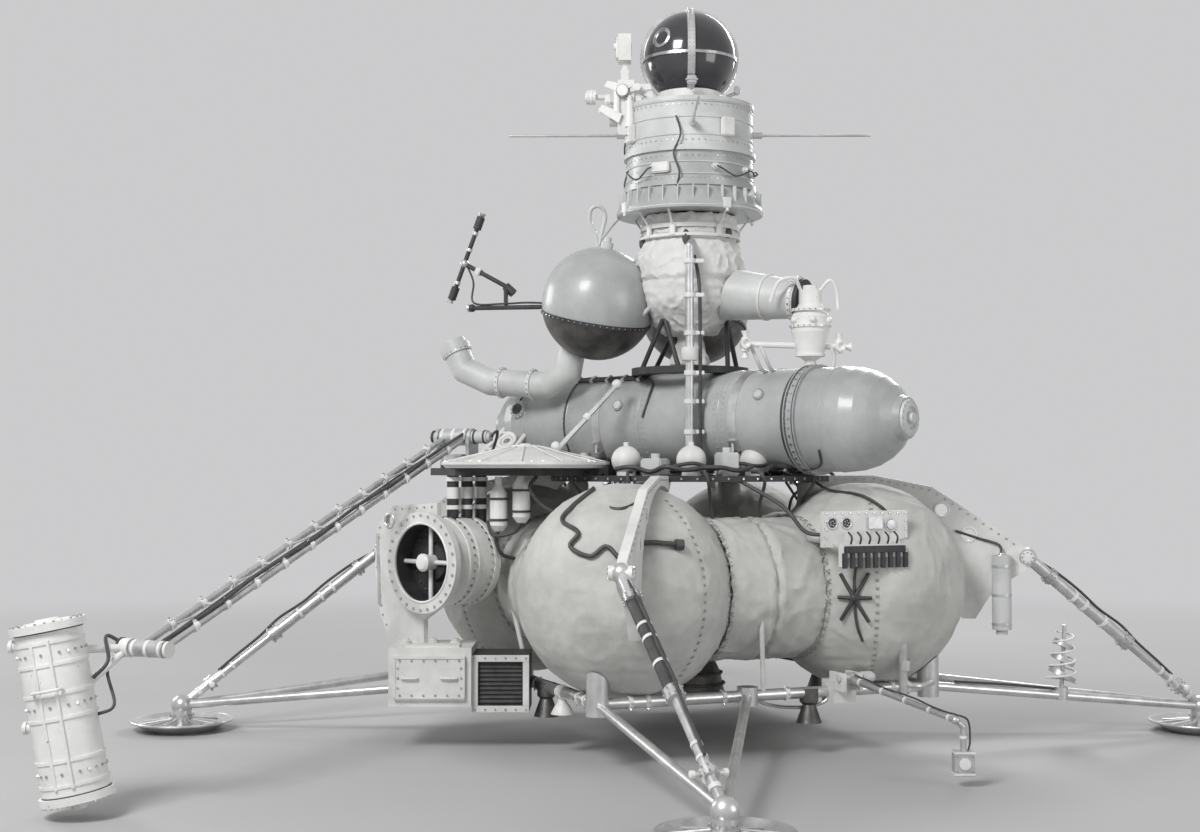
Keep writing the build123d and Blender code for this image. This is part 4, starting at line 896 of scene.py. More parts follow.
for x in (-0.31, -0.26):
    feeds.hose(shifted(BLOCK, (x, -0.015, 2.064), (x + 0.02, -0.04, 2.01), (x + 0.05, -0.02, 1.95),
                       (x + 0.09, 0.03, 1.93)),
               0.010)
feeds.hose(shifted(BLOCK, (0.11, -0.015, 2.05), (0.12, -0.05, 2.0), (0.10, -0.07, 1.93),
                   (0.07, -0.07, 1.88)), 0.009)
feeds.done("Thruster_feeds", pale_grey)

# %% [markdown]
# The instrument cylinder is a pressure vessel in satin grey with weld bands, a bolted flange near its right
# end, a plug at the end of each dome and service covers. It lies at 37.7 degrees to the X axis, so a small
# helper turns a place along it and an angle round it into a point and its outward direction.

# %% Cylinder bands and covers
CYL_AXIS, CYL_SIDE = compass(1, -37.7, 0), compass(1, -127.7, 0)
CYL_R = 0.270
CYL_MIDDLE = UP * 1.680


def in_cylinder(along):
    """Point on the cylinder's axis."""
    return CYL_MIDDLE + CYL_AXIS * along


def on_cylinder(along, angle, lift=0.0):
    """Point and outward direction; angle 0 faces the camera side, 90 is the top."""
    out = CYL_SIDE * math.cos(math.radians(angle)) + UP * math.sin(math.radians(angle))
    return in_cylinder(along) + out * (CYL_R + lift), out


welds = Fittings()
for along in (-0.97, -0.66, -0.16, 0.36, 0.97):
    welds.torus(in_cylinder(along), CYL_AXIS, CYL_R - 0.0015, 0.0045, 72, 8)
for along in (0.772, 0.828):
    welds.hoop(in_cylinder(along), CYL_AXIS, 0.287, 0.020, 0.006, 72)
welds.done("Cylinder_welds", grey)
dark_lines = Fittings()
for along in (-0.672, 0.752):
    dark_lines.hoop(in_cylinder(along), CYL_AXIS, CYL_R + 0.0025, 0.006, 0.012, 72)
dark_lines.done("Cylinder_seals", rubber)
spots = ring_spots(in_cylinder(0.786), -CYL_AXIS, 0.277, 48, outward=False)
spots += ring_spots(in_cylinder(0.800), CYL_AXIS, 0.2825, 40)
bolts("Cylinder_flange_bolts", spots, 0.007, 0.006)
spots = []
for along in (-0.685, -0.635, 0.335, 0.385, -0.185, -0.135):
    spots += ring_spots(in_cylinder(along), CYL_AXIS, CYL_R - 0.0004, 56)
rivets("Cylinder_rivets", spots, 0.0045, 0.003, 0.0035, grey)

covers, ports = Fittings(), Fittings()
spots = []
for along, angle, r in ((-1.02, 18, 0.050), (-0.44, 205, 0.055), (0.12, 170, 0.07), (0.62, 190, 0.05),
                        (-0.9, 120, 0.05), (0.55, 112, 0.045), (-0.30, 20, 0.030), (0.60, 28, 0.030)):
    at, out = on_cylinder(along, angle)
    covers.turned(at, out, [(-0.02, r), (0.010, r), (0.010, r * 0.8), (0.016, r * 0.74)], 36)
    spots += ring_spots(at + out * 0.010, out, r * 0.9, 12, outward=False)
covers.turned(in_cylinder(1.312), CYL_AXIS, [(0, 0.100), (0.030, 0.092), (0.036, 0.060), (0.024, 0.052),
                                             (0.024, 0.030), (0.050, 0.026)], 40)
covers.turned(in_cylinder(-1.312), -CYL_AXIS, [(0, 0.100), (0.030, 0.092), (0.034, 0)], 40)
covers.done("Cylinder_covers", pale_grey)
for end, way in ((1.340, CYL_AXIS), (-1.338, -CYL_AXIS)):
    spots += ring_spots(in_cylinder(end), way, 0.083, 16, outward=False)
bolts("Cylinder_cover_screws", spots, 0.0055, 0.005)
for along, angle, r in ((-1.02, 18, 0.034), (0.12, 170, 0.045)):
    ports.turned(*on_cylinder(along, angle, 0.015), [(0, r), (0.004, r * 0.96)], 32)
ports.done("Cylinder_ports", glossy_black)

# %% [markdown]
# Steel straps with turnbuckles hold the cylinder in its saddles. Three runs of cable lie along its upper
# back, its underside and its front, each in three strands. Short clips repeat along them, so a tree lays
# them.

# %% Straps and cable runs
straps = Fittings()
for along in (-0.45, 0.45):
    straps.hoop(in_cylinder(along), CYL_AXIS, CYL_R + 0.0035, 0.004, 0.050, 80)
    for angle in (-28, 208):
        at, out = on_cylinder(along, angle, 0.010)
        straps.box(at, (0.055, 0.07, 0.022), toward=out, ease=0.004)
        straps.rod(at + out * 0.012 - UP * 0.03, at + out * 0.012 + UP * 0.03, 0.008)
straps.done("Cylinder_straps", tube)
trays = Fittings()
for angle, a, b in ((142, -0.95, 0.70), (-72, -0.90, 0.72), (62, -0.95, -0.20)):
    for shift in (-3.0, 0.0, 3.0):
        ends = [on_cylinder(along, angle + shift, 0.012)[0] for along in (a, a + 0.2, (a + b) / 2, b - 0.2,
                                                                          b)]
        trays.hose(ends, 0.0065, 8, steps=3)
for points in ([(-0.95, 142), (-1.02, 120), (-1.05, 90), (-1.03, 60)],
               [(0.70, 142), (0.74, 165), (0.70, 190)],
               [(0.72, -72), (0.90, -60), (0.95, -35)], [(-0.20, 62), (-0.12, 50), (-0.10, 30), (-0.12, 5)],
               [(-0.95, 62), (-1.00, 45), (-1.02, 30)]):
    trays.hose([on_cylinder(along, angle, 0.010)[0] for along, angle in points], 0.006, 8)
trays.done("Cylinder_cables", rubber)
clips = []
for angle, a, b, count in ((142, -0.90, 0.66, 14), (-72, -0.85, 0.68, 13), (62, -0.90, -0.24, 7)):
    for n in range(count):
        clips.append((*on_cylinder(a + (b - a) * n / (count - 1), angle, 0.012), CYL_AXIS))
place_parts("Cylinder_cable_clips", bars, clips, pale_grey, long=0.018, wide=0.056, high=0.020)

# %% [markdown]
# A bright upright pipe crosses the cylinder with a thinner dark one beside it. Clamps hold both to the
# cylinder, and the slanting stay at the left ends in two lugs.

# %% Standpipe and stay
PIPE = Vector((-0.020, -0.400, 0))
STAY_TOP, STAY_FOOT = Vector((-0.400, -0.180, 1.880)), Vector((-0.724, -0.352, 1.520))
clamps = Fittings()
for z in (1.46, 1.62, 1.78, 1.93, 2.14, 2.34, 2.52):
    clamps.cap(PIPE + UP * (z - 0.012), UP, 0.030, 0.024, 24)
    clamps.box(PIPE + Vector((0.048, 0.004, z)), (0.060, 0.020, 0.022), ease=0.003)
clamps.turned(PIPE + UP * 1.995, UP, [(0, 0.040), (0.010, 0.046), (0.060, 0.046), (0.070, 0.040)], 28)
clamps.ball(STAY_TOP, 0.028)
clamps.ball(STAY_FOOT + UP * 0.025, 0.026)
clamps.hoop(STAY_TOP.lerp(STAY_FOOT, 0.5), STAY_FOOT - STAY_TOP, 0.021, 0.006, 0.03, 24)
clamps.done("Standpipe_clamps", white)
side_pipe = Fittings()
side_pipe.hose(shifted(PIPE, (0.056, 0, 1.400), (0.056, 0, 1.60), (0.056, 0, 1.90), (0.056, 0.005, 2.20),
                       (0.050, 0.02, 2.42), (0.030, 0.10, 2.56)), 0.010)
side_pipe.done("Standpipe_line", rubber)

# %% [markdown]
# Under the cylinder the deck is crowded with dark hoses, boxes and gas bottles. They fill the shadow gap
# between the tanks and the cylinder, so they are built loosely but always sit on the deck.

# %% Deck equipment
DECK_TOP = 1.390
gear, bottles, hoses = Fittings(), Fittings(), Fittings()
for turn, reach, size in ((-110, 0.60, (0.16, 0.11, 0.09)), (-75, 0.62, (0.12, 0.10, 0.12)),
                          (-20, 0.62, (0.18, 0.12, 0.08)), (20, 0.60, (0.14, 0.12, 0.13)),
                          (62, 0.60, (0.2, 0.12, 0.1)), (95, 0.62, (0.12, 0.12, 0.14)),
                          (165, 0.60, (0.16, 0.12, 0.10)), (205, 0.61, (0.12, 0.10, 0.08))):
    gear.box(compass(reach, turn, DECK_TOP + size[2] / 2), size, turn=turn, ease=0.008)
    gear.rod(compass(reach, turn, DECK_TOP + size[2]), compass(reach, turn, DECK_TOP + 0.025 + size[2]),
             0.022)
gear.done("Deck_boxes", pale_grey)
for turn, reach in ((-55, 0.55), (40, 0.56), (78, 0.53), (120, 0.56), (-92, 0.55), (230, 0.55)):
    bottles.ball(compass(reach, turn, 1.470), 0.078, sides=28)
    bottles.rod(compass(reach, turn, DECK_TOP), compass(reach, turn, 1.42), 0.05)
    bottles.rod(compass(reach, turn, 1.54), compass(reach, turn, 1.565), 0.014)
bottles.done("Deck_bottles", white)
for start, sweep, reach, z, r in ((-125, 60, 0.70, 1.408, 0.012), (-100, 75, 0.66, 1.425, 0.010),
                                  (-60, 50, 0.715, 1.415, 0.014), (0, 80, 0.70, 1.410, 0.012),
                                  (60, 95, 0.68, 1.415, 0.012), (150, 70, 0.70, 1.410, 0.012)):
    hoses.hose([compass(reach + math.sin(n * 2.1 + start) * 0.018, start + sweep * n / 8,
                        z + abs(math.sin(n * 1.3 + start)) * 0.03) for n in range(9)], r)
for turn in (-118, -88, -66, -40, -12, 28, 70, 110, 152, 214):
    hoses.hose(round_axis(turn, (0.70, 0, 1.41), (0.765, 1, 1.405), (0.785, 2, 1.36), (0.74, 3, 1.30),
                          (0.70, 4, 1.25), (0.68, 5, 1.13)), 0.009, 8)
hoses.done("Deck_hoses", rubber)
bolts("Deck_rim_screws", ring_spots((0, 0, 1.375), UP, 0.7595, 60), 0.006, 0.005)

# %% [markdown]
# Below the left ball a thick bent duct ends in an open, banded mouth, and a thin boom carries small jets.
# Flange rings with bolts break up the duct. The jets are tiny bells, and a gas line is tied along the boom.

# %% Duct and jet boom
DUCT = [Vector(p) for p in ((-1.345, 0.420, 2.155), (-1.272, 0.395, 1.992), (-1.115, 0.330, 1.918),
                            (-0.790, 0.190, 1.895))]
rings = Fittings()
spots = []
for a, b, share in ((0, 1, 0.62), (2, 3, 0.25), (2, 3, 0.80)):
    axis = (DUCT[a] - DUCT[b]).normalized()
    at = DUCT[b].lerp(DUCT[a], share)
    rings.hoop(at, axis, 0.086, 0.012, 0.018, 48)
    spots += ring_spots(at, axis, 0.0855, 18)
rings.done("Duct_rings", white)
bolts("Duct_bolts", spots, 0.005, 0.004)
ROOT, HUB, CROSS = Vector((-0.770, 0.074, 2.324)), Vector((-1.238, 0.479, 2.356)), Vector((-1.283, 0.481,
                                                                                           2.614))
ARM = Vector((-1.038, 0.399, 2.474)) - CROSS
JET_TOP, JET_LOW = Vector((-1.186, 0.476, 2.884)), Vector((-1.358, 0.485, 2.407))
ends, lines = Fittings(), Fittings()
axis = (JET_TOP - JET_LOW).normalized()
for at, way in ((JET_TOP, axis), (JET_LOW, -axis), (HUB, (HUB - ROOT).normalized())):
    ends.turned(at - way * 0.012, way, [(0, 0.014), (0.012, 0.012), (0.026, 0.020), (0.034, 0.024),
                                        (0.034, 0.018), (0.016, 0)], 24)
for share in (0.2, 0.42, 0.6, 0.8):
    ends.hoop(JET_LOW.lerp(JET_TOP, share), axis, 0.018, 0.008, 0.018, 24)
ends.ball(CROSS, 0.026)
ends.box(CROSS + ARM * 0.35, (0.05, 0.04, 0.035), toward=ARM, ease=0.004)
ends.done("Jet_boom_ends", alloy)
lines.hose([p + Vector(shift) for p, shift in (
    (ROOT, (0, 0, 0.02)), (ROOT.lerp(HUB, 0.3), (0, 0, 0.026)), (ROOT.lerp(HUB, 0.6), (0, 0, 0.022)),
    (HUB, (0.01, 0, 0.03)), (HUB.lerp(CROSS, 0.5), (0.03, 0, 0.02)), (CROSS, (0.02, 0, -0.02)))], 0.006, 8)
lines.done("Jet_boom_lines", rubber)

# %% [markdown]
# The front tank carries a black hose that wanders down from the deck and a black rod with thick ends. Both
# are laid along dark lines that are partly the outrigger's cast shadow, so they paint that shadow as well as
# a cable and a rod. Both lie on the cloth, so their points are pushed out to the tank's own radius. The tank
# to its right is closed by a laced star.


# %% Cable, rod and star on the tanks, partly painted shadow
def on_tank(side, lift, *points):
    """Nearest points to the given ones at a height over a tank's ball."""
    centre = compass(TANK_REACH, TANKS[side], TANK_Z)
    return [centre + (Vector(point) - centre).normalized() * (TANK_R + lift) for point in points]


cables_and_shadow_lines, star = Fittings(), Fittings()
# Partly painted shadow: this hose and the rod below follow the outrigger's shadow lines on the front tank.
cables_and_shadow_lines.hose(on_tank("front", 0.012, (-0.52, -1.00, 1.345), (-0.621, -1.108, 1.247), (-0.667, -1.159, 1.181),
                    (-0.588, -1.273, 1.128), (-0.625, -1.295, 1.063), (-0.531, -1.362, 1.020),
                    (-0.456, -1.360, 1.066), (-0.40, -1.40, 1.02)), 0.011)
cables_and_shadow_lines.hose([(-0.42, -0.99, 1.33), (-0.47, -1.13, 1.262), (-0.40, -1.21, 1.235), (-0.31, -1.16, 1.265),
             (-0.26, -1.00, 1.33)], 0.009)
a, b = on_tank("front", 0.022, (-0.359, -1.420, 1.107), (-0.054, -1.360, 1.107))
middle, = on_tank("front", 0.020, (a + b) / 2)
cables_and_shadow_lines.ball(middle, 0.013)
for end, other in ((a, b), (b, a)):
    cables_and_shadow_lines.rod(end, middle, 0.012)
    cables_and_shadow_lines.rod(end, end.lerp(other, 0.14), 0.026)
cables_and_shadow_lines.hose([(0.61, -0.935, 1.10), (0.52, -0.90, 1.12), (0.42, -0.84, 1.24), (0.22, -0.70, 1.365)], 0.010)
over_tank = on_tank("right", 0.010, (0.70, -0.50, 1.32), (0.84, -0.62, 1.27), (0.94, -0.71, 1.20))
cables_and_shadow_lines.hose([(0.62, -0.40, 1.37), *over_tank, (0.98, -0.785, 1.14)], 0.009)
cables_and_shadow_lines.done("Tank_cables_and_painted_shadow", rubber)
STAR = Vector((0.767, -0.885, 0.791))
for dx, dz in ((0.072, 0.120), (-0.072, 0.120), (0.085, 0.0)):
    for end in on_tank("right", 0.008, *shifted(STAR, (dx, 0, dz), (-dx, 0, -dz))):
        star.rod(end, *on_tank("right", 0.012, STAR), 0.009, 0.011)
star.ball(*on_tank("right", 0.006, STAR), 0.024)
star.hose(on_tank("right", 0.004, (0.818, -0.845, 1.069), (0.775, -0.880, 0.93), STAR, (0.780, -0.872, 0.66),
                  (0.813, -0.843, 0.569)), 0.007)
star.done("Lacing_star", rubber)

# %% [markdown]
# The panel between the front and right tanks faces 22.5 degrees off the camera. A helper gives its places:
# across, out from the plate, and up. Below it, a black cover over the white connector rail, with one black
# cap for each tooth, paints the shade among the teeth.

# %% Front panel
PANEL_ALONG, PANEL_OUT = compass(1, 22.5, 0), compass(1, -67.5, 0)


def on_panel(across, out, up):
    return PANEL_ALONG * (0.42 + across) + PANEL_OUT * (1.125 + out) + UP * (1.13 + up)


sockets, rims, comb_and_shade = Fittings(), Fittings(), Fittings()
for across in (-0.19, -0.11):
    sockets.cap(on_panel(across, 0.0, 0.03), PANEL_OUT, 0.023, 0.008)
    rims.torus(on_panel(across, 0.016, 0.03), PANEL_OUT, 0.027, 0.005, 32)
    for n in range(5):
        aside, up = across + 0.012 * math.cos(1.257 * n), 0.03 + 0.012 * math.sin(1.257 * n)
        rims.rod(on_panel(aside, 0.006, up), on_panel(aside, 0.020, up), 0.0025, sides=8)
rims.torus(on_panel(0.14, 0.017, 0.02), PANEL_OUT, 0.030, 0.005, 32)
rims.turned(on_panel(0.14, 0.012, 0.02), PANEL_OUT, [(0, 0.026), (0.014, 0.024), (0.016, 0)], 28)
rims.box(on_panel(0.05, 0.02, 0.03), (0.085, 0.060, 0.012), PANEL_OUT)
rims.done("Panel_rims", alloy)
sockets.done("Panel_sockets", glossy_black)
# Painted shade: the black cover and tooth caps over the white rail stand for the shadow among the teeth.
comb_and_shade.box(on_panel(0.02, 0.068, -0.098), (0.346, 0.034, 0.014), PANEL_OUT, ease=0.003)
for n in range(9):
    comb_and_shade.box(on_panel(-0.1515 + 0.043 * n, 0.070, -0.152), (0.024, 0.074, 0.018), PANEL_OUT, ease=0.002)
for n in range(6):
    root = on_panel(-0.11 + 0.052 * n, 0.055, -0.075)
    comb_and_shade.hose([root, root + UP * 0.035 + PANEL_OUT * 0.012, root + UP * 0.06 - PANEL_OUT * 0.02], 0.005, 8, 4)
comb_and_shade.done("Connector_comb_painted_shade", black)
spots = [(on_panel(-0.225 + 0.045 * n, 0.0152, up), PANEL_OUT,
          UP) for up in (-0.078, 0.078) for n in range(11)]
spots += [(on_panel(across, 0.0152, -0.039 + 0.039 * n), PANEL_OUT,
           UP) for across in (-0.228, 0.228) for n in range(3)]
rivets("Panel_screws", spots, 0.006, 0.0045, 0.005)
folds = Fittings()
folds.hose([(0.655, -0.730, 0.300), (0.640, -0.735, 0.262), (0.56, -0.733, 0.235), (0.42, -0.727, 0.232),
            (0.31, -0.715, 0.258), (0.296, -0.720, 0.300)], 0.009)
folds.rod((1.02, -0.800, 0.66), (1.03, -0.742, 0.30), 0.022)
folds.rod((1.035, -0.765, 0.47), (1.035, -0.765, 0.42), 0.031)
folds.hose([(1.035, -0.755, 0.40), (1.05, -0.75, 0.35), (1.12, -0.74, 0.34), (1.20, -0.62, 0.34)], 0.014)
folds.done("Loop_rods", tube)

# %% [markdown]
# At the left the plate beside the deck carries the shallow lens, three pipes with collars and two bottles,
# and the side drum with its open face. The drum looks out at compass 229 degrees, so its bolts and bands use
# that axis.

# %% Lens, pipes and side drum
DRUM_OUT = compass(1, 228.8, 0)
DRUM_SIDE = Vector((DRUM_OUT.y, -DRUM_OUT.x, 0))
DRUM_FACE = Vector((-1.413, -0.534, 0.942))
LENS_AT = Vector((-0.887, -0.309, 1.430))
rings, collars, clips = Fittings(), Fittings(), Fittings()
rings.hoop(LENS_AT + UP * 0.026, UP, 0.446, 0.012, 0.016, 80)
rings.turned(LENS_AT + UP * 0.110, UP, [(0, 0.085), (0.012, 0.075), (0.014, 0.03), (0.020, 0.026)])
for n in range(12):
    spoke = compass(1, 30 * n, 0)
    rings.rod(LENS_AT + spoke * 0.425 + UP * 0.034, LENS_AT + spoke * 0.085 + UP * 0.1155, 0.0035, sides=8)
rings.done("Lens_rings", white)
spots = [(at, UP, around) for at, _, around in ring_spots(LENS_AT + UP * 0.0335, UP, 0.428, 48)]
rivets("Lens_rivets", spots, 0.005, 0.0035, 0.004)
for x, y in ((-1.262, -0.405), (-1.195, -0.328), (-1.128, -0.252)):
    for z, r, thick, wide in ((1.225, 0.037, 0.012, 0.022), (1.372, 0.037, 0.012, 0.022),
                              (1.30, 0.0325, 0.006, 0.060)):
        collars.hoop((x, y, z), UP, r, thick, wide, 32)
for foot in (Vector((-1.02, -0.430, 1.10)), Vector((-0.90, -0.460, 1.145))):
    collars.turned(foot, UP, [(0, 0.022), (0.03, 0.046), (0.20, 0.046), (0.24, 0.02), (0.25, 0.02),
                              (0.285, 0.02)], 36)
    for up in (0.06, 0.17):
        clips.hoop(foot + UP * up, UP, 0.050, 0.006, 0.012, 36)
collars.done("Pipe_collars", bright)
clips.hose([(-1.02, -0.43, 1.11), (-1.03, -0.46, 1.05), (-1.00, -0.44, 0.98), (-0.93, -0.34, 0.95)], 0.010)
clips.hose([(-0.90, -0.46, 1.15), (-0.93, -0.52, 1.10), (-1.04, -0.50, 1.08), (-1.08, -0.42, 1.15)], 0.009)
clips.hose([(-0.82, -0.50, 1.385), (-0.85, -0.56, 1.33), (-0.80, -0.58, 1.25), (-0.72, -0.60, 1.20)], 0.011)
clips.done("Pipe_clips_and_hoses", rubber)


def in_drum(back):
    """Point on the side drum's axis behind its open face."""
    return DRUM_FACE - DRUM_OUT * back


drum_rings, lining = Fittings(), Fittings()
for back, r in ((0.135, 0.2345), (0.20, 0.2330), (0.315, 0.2345)):
    drum_rings.hoop(in_drum(back), DRUM_OUT, r, 0.008, 0.014, 72)
drum_rings.turned(in_drum(0.022), DRUM_OUT, [(0, 0.046), (0.014, 0.046), (0.026, 0.034), (0.030, 0.012),
                                             (0.031, 0)], 36)
drum_rings.torus(in_drum(-0.001), DRUM_OUT, 0.203, 0.006, 72)
for spoke in (DRUM_SIDE, -DRUM_SIDE, UP, -UP):
    drum_rings.rod(in_drum(0.07) + spoke * 0.04, in_drum(0.07) + spoke * 0.200, 0.012)
drum_rings.done("Side_drum_rings", bright)
lining.cap(in_drum(0.1195), DRUM_OUT, 0.1985, 0.004, 64)
lining.hoop(in_drum(0.063), DRUM_OUT, 0.1996, 0.003, 0.108, 64)
lining.turned(in_drum(0.116), DRUM_OUT, [(0, 0.105), (0.03, 0.09), (0.034, 0.05)])
lining.done("Side_drum_lining", black)
spots = ring_spots(DRUM_FACE, DRUM_OUT, 0.244, 28, outward=False)
spots += ring_spots(in_drum(0.1155), DRUM_OUT, 0.165, 18, outward=False)
for back in (0.165, 0.29):
    spots += ring_spots(in_drum(back), DRUM_OUT, 0.2296, 36)
bolts("Side_drum_bolts", spots, 0.0075, 0.007)

# %% [markdown]
# The C-shaped plate round the drum gets a rolled hole rim and rivets along its edge. The two boxes below it
# get lid seams, screws and handles. The right one is dark with a pale frame and louvres in its recess.

# %% Bracket plate and boxes
PLATE_AT = Vector((DRUM_FACE.x, DRUM_FACE.y, 0)) - DRUM_OUT * 0.0745


def on_plate(across, z):
    return PLATE_AT + DRUM_SIDE * across + UP * z


plate_trim = Fittings()
plate_trim.torus(on_plate(0.33, 1.15), DRUM_OUT, 0.036, 0.007, 36)
plate_trim.rod(on_plate(0.405, 0.70), on_plate(0.425, 1.08), 0.011)
plate_trim.done("Bracket_plate_rim", tube)
edge = [(0.0, 1.228), (0.288, 1.212), (0.408, 1.112), (0.430, 0.900), (0.382, 0.648), (0.318, 0.545)]
spots = []
for a, b in zip(edge, edge[1:]):
    count = max(3, round(math.dist(a, b) / 0.045))
    spots += row_spots(on_plate(*a), on_plate(*b), count, DRUM_OUT)[:-1]
rivets("Bracket_plate_rivets", spots, 0.0065, 0.0045, 0.005)

boxes, bell = Fittings(), Fittings()
for centre, size in (((-1.525, -0.7015, 0.37), (0.010, 0.006, 0.215)),
                     ((-1.175, -0.7015, 0.37), (0.010, 0.006, 0.215)),
                     ((-1.35, -0.7015, 0.270), (0.36, 0.006, 0.010)),
                     ((-1.35, -0.7015, 0.470), (0.36, 0.006, 0.010)),
                     ((-0.995, -0.642, 0.207), (0.292, 0.008, 0.034)),
                     ((-0.995, -0.642, 0.463), (0.292, 0.008, 0.034)),
                     ((-1.125, -0.642, 0.335), (0.032, 0.008, 0.224)),
                     ((-0.865, -0.642, 0.335), (0.032, 0.008, 0.224))):
    boxes.box(centre, size, ease=0.002)
boxes.box((-1.35, -0.60, 0.523), (0.30, 0.12, 0.012), ease=0.003)
for x in (-1.45, -1.25):
    boxes.hose([(x - 0.035, -0.690, 0.37), (x - 0.035, -0.712, 0.37), (x + 0.035, -0.712, 0.37),
                (x + 0.035, -0.690, 0.37)], 0.006, 10, 5)
for x, y in ((-1.50, -0.45), (-1.36, -0.42), (-1.24, -0.45)):
    boxes.turned((x, y, 0.515), UP, [(0, 0.03), (0.018, 0.03), (0.022, 0.018), (0.03, 0.016)], 28)
boxes.done("Box_trim", white)
TO_FRONT = Vector((0, -1, 0))
places = [(-1.50 + 0.06 * n, -0.7002, z) for n in range(6) for z in (0.283, 0.457)]
places += [(x, -0.7002, 0.32 + 0.05 * n) for n in range(3) for x in (-1.51, -1.19)]
places += [(-1.125 + 0.052 * n, -0.646, z) for n in range(6) for z in (0.205, 0.465)]
rivets("Box_screws", [(at, TO_FRONT, UP) for at in places], 0.0065, 0.005, 0.005)
spots = [((-0.995, -0.622, 0.245 + 0.022 * n), (0, -0.75, 0.66), (1, 0, 0)) for n in range(9)]
place_parts("Box_louvres", bars, spots, rubber, long=0.215, wide=0.018, high=0.003)

BELL_AT = Vector((-0.676, -0.769, 0.290))
bell.hoop(BELL_AT + UP * 0.02, (0.704, -1.698, 0), 0.036, 0.009, 0.05, 32)
bell.turned(BELL_AT, -UP, [(0, 0.018), (0.03, 0.024), (0.05, 0.040), (0.085, 0.058), (0.088, 0.058),
                           (0.080, 0.050), (0.045, 0.030), (0.040, 0)], 36)
bell.done("Small_bell", bright)

# %% [markdown]
# The boom is dressed in its own directions: along it, aside, and a normal that points up. Its fittings ride
# on the boom arm, the drive's on the turntable, and the canister's on the drill head, so that each moves with
# its own body.

# %% Boom cable, clamps and lattice
PIVOT = Vector((-1.301, 0.182, 1.603))
BOOM_AXIS = Vector((-0.39118, -0.85440, -0.34202)).normalized()
ASIDE = Vector((0.909236, -0.416281, 0)).normalized()
BOOM_UP = BOOM_AXIS.cross(ASIDE)
BOOM_LONG = 2.718
HALF_GAP = 0.065


def on_boom(along, aside=0.0, up=0.0):
    return PIVOT + BOOM_AXIS * along + ASIDE * aside + BOOM_UP * up


boom_hoses, bands, lattice = Fittings(), Fittings(), Fittings()
steps = [0.03] + [0.10 + 0.12 * n for n in range(22)] + [BOOM_LONG - 0.03]
boom_hoses.hose([on_boom(a, HALF_GAP + 0.004 * math.sin(9 * a),
                         0.028 + 0.005 * math.sin(7 * a)) for a in steps],
                0.0085)
boom_hoses.hose([on_boom(a, HALF_GAP * 0.45 + 0.008 * math.sin(5 * a + 1), 0.016) for a in steps], 0.006)
boom_hoses.done("Boom_cables", rubber, "boom_arm")
spots = []
for n in range(1, 12):
    for s in (-1, 1):
        at = on_boom(BOOM_LONG * n / 12, s * HALF_GAP)
        bands.hoop(at, BOOM_AXIS, 0.0225, 0.006, 0.026, 28)
        bands.box(at + BOOM_UP * 0.024, (0.018, 0.022, 0.012), BOOM_UP, ease=0.002)
        spots.append((at + BOOM_UP * 0.030, BOOM_UP, BOOM_AXIS))
for n in range(1, 11):
    s = HALF_GAP if n % 2 else -HALF_GAP
    lattice.rod(on_boom(BOOM_LONG * n / 12, -s), on_boom(BOOM_LONG * (n + 1) / 12, s), 0.006)
for along, r in ((0.0, 0.0495), (BOOM_LONG, 0.0365)):
    for aside in (-0.070, 0.0, 0.070):
        bands.hoop(on_boom(along, aside), ASIDE, r, 0.006, 0.014, 40)
bands.done("Boom_clamps", bright, "boom_arm")
lattice.done("Boom_lattice", tube, "boom_arm")
bolts("Boom_clamp_bolts", spots, 0.005, 0.006, body="boom_arm")

PLINTH_TOP = Vector((-1.301, 0.182, 1.486))
drive, rings = Fittings(), Fittings()
for start, end, r in ((0.112, 0.205, 0.036), (0.205, 0.222, 0.026), (-0.112, -0.150, 0.030)):
    drive.rod(on_boom(0, start), on_boom(0, end), r)
drive.rod(PLINTH_TOP - UP * 0.012, PLINTH_TOP, 0.078)
drive.done("Boom_drive", pale_grey, "boom_turntable")
for aside in (0.128, 0.190, -0.138):
    rings.hoop(on_boom(0, aside), ASIDE, 0.039, 0.010, 0.010, 36)
rings.hose([on_boom(0, 0.215), on_boom(-0.06, 0.235, 0.01), (-1.10, 0.16, 1.52), (-1.17, 0.26, 1.475)], 0.008)
rings.done("Boom_drive_rings", rubber, "boom_turntable")
spots = []
for at, way, radius, count in ((on_boom(0, 0.222), ASIDE, 0.018, 6), (on_boom(0, -0.150), -ASIDE, 0.021, 6),
                               (PLINTH_TOP, UP, 0.068, 16)):
    spots += ring_spots(at, way, radius, count, outward=False)
bolts("Boom_drive_bolts", spots, 0.005, 0.006, body="boom_turntable")

# %% [markdown]
# Behind the turntable a frame with two eyes leans on the end of the instrument cylinder. It belongs to the
# lander.

# %% Frame between the boom's root and the cylinder
frame_bars = Fittings()
low_left, low_right = Vector((-1.235, 0.395, 1.445)), Vector((-1.06, 0.290, 1.435))
high_left, high_right = Vector((-0.985, 0.560, 1.730)), Vector((-0.845, 0.455, 1.730))
for a, b in ((low_left, high_left), (low_right, high_right), (low_left, low_right), (high_left, high_right)):
    frame_bars.rod(a, b, 0.014)
    frame_bars.ball(a, 0.020)
    frame_bars.ball(b, 0.020)
for share in (0.33, 0.66):
    frame_bars.rod(low_left.lerp(high_left, share), low_right.lerp(high_right, share), 0.010)
face = (high_left - low_left).cross(low_right - low_left)
for share in (0.17, 0.5, 0.83):
    middle = low_left.lerp(high_left, share).lerp(low_right.lerp(high_right, share), 0.5)
    frame_bars.torus(middle, face, 0.050, 0.013, 40)
    frame_bars.torus(middle, face, 0.028, 0.007, 32)
frame_bars.done("Boom_root_frame", white)

# %% [markdown]
# The drill canister is a white tube with pressed ribs, bolted lids, a plate on top and a feed line from the
# elbow.

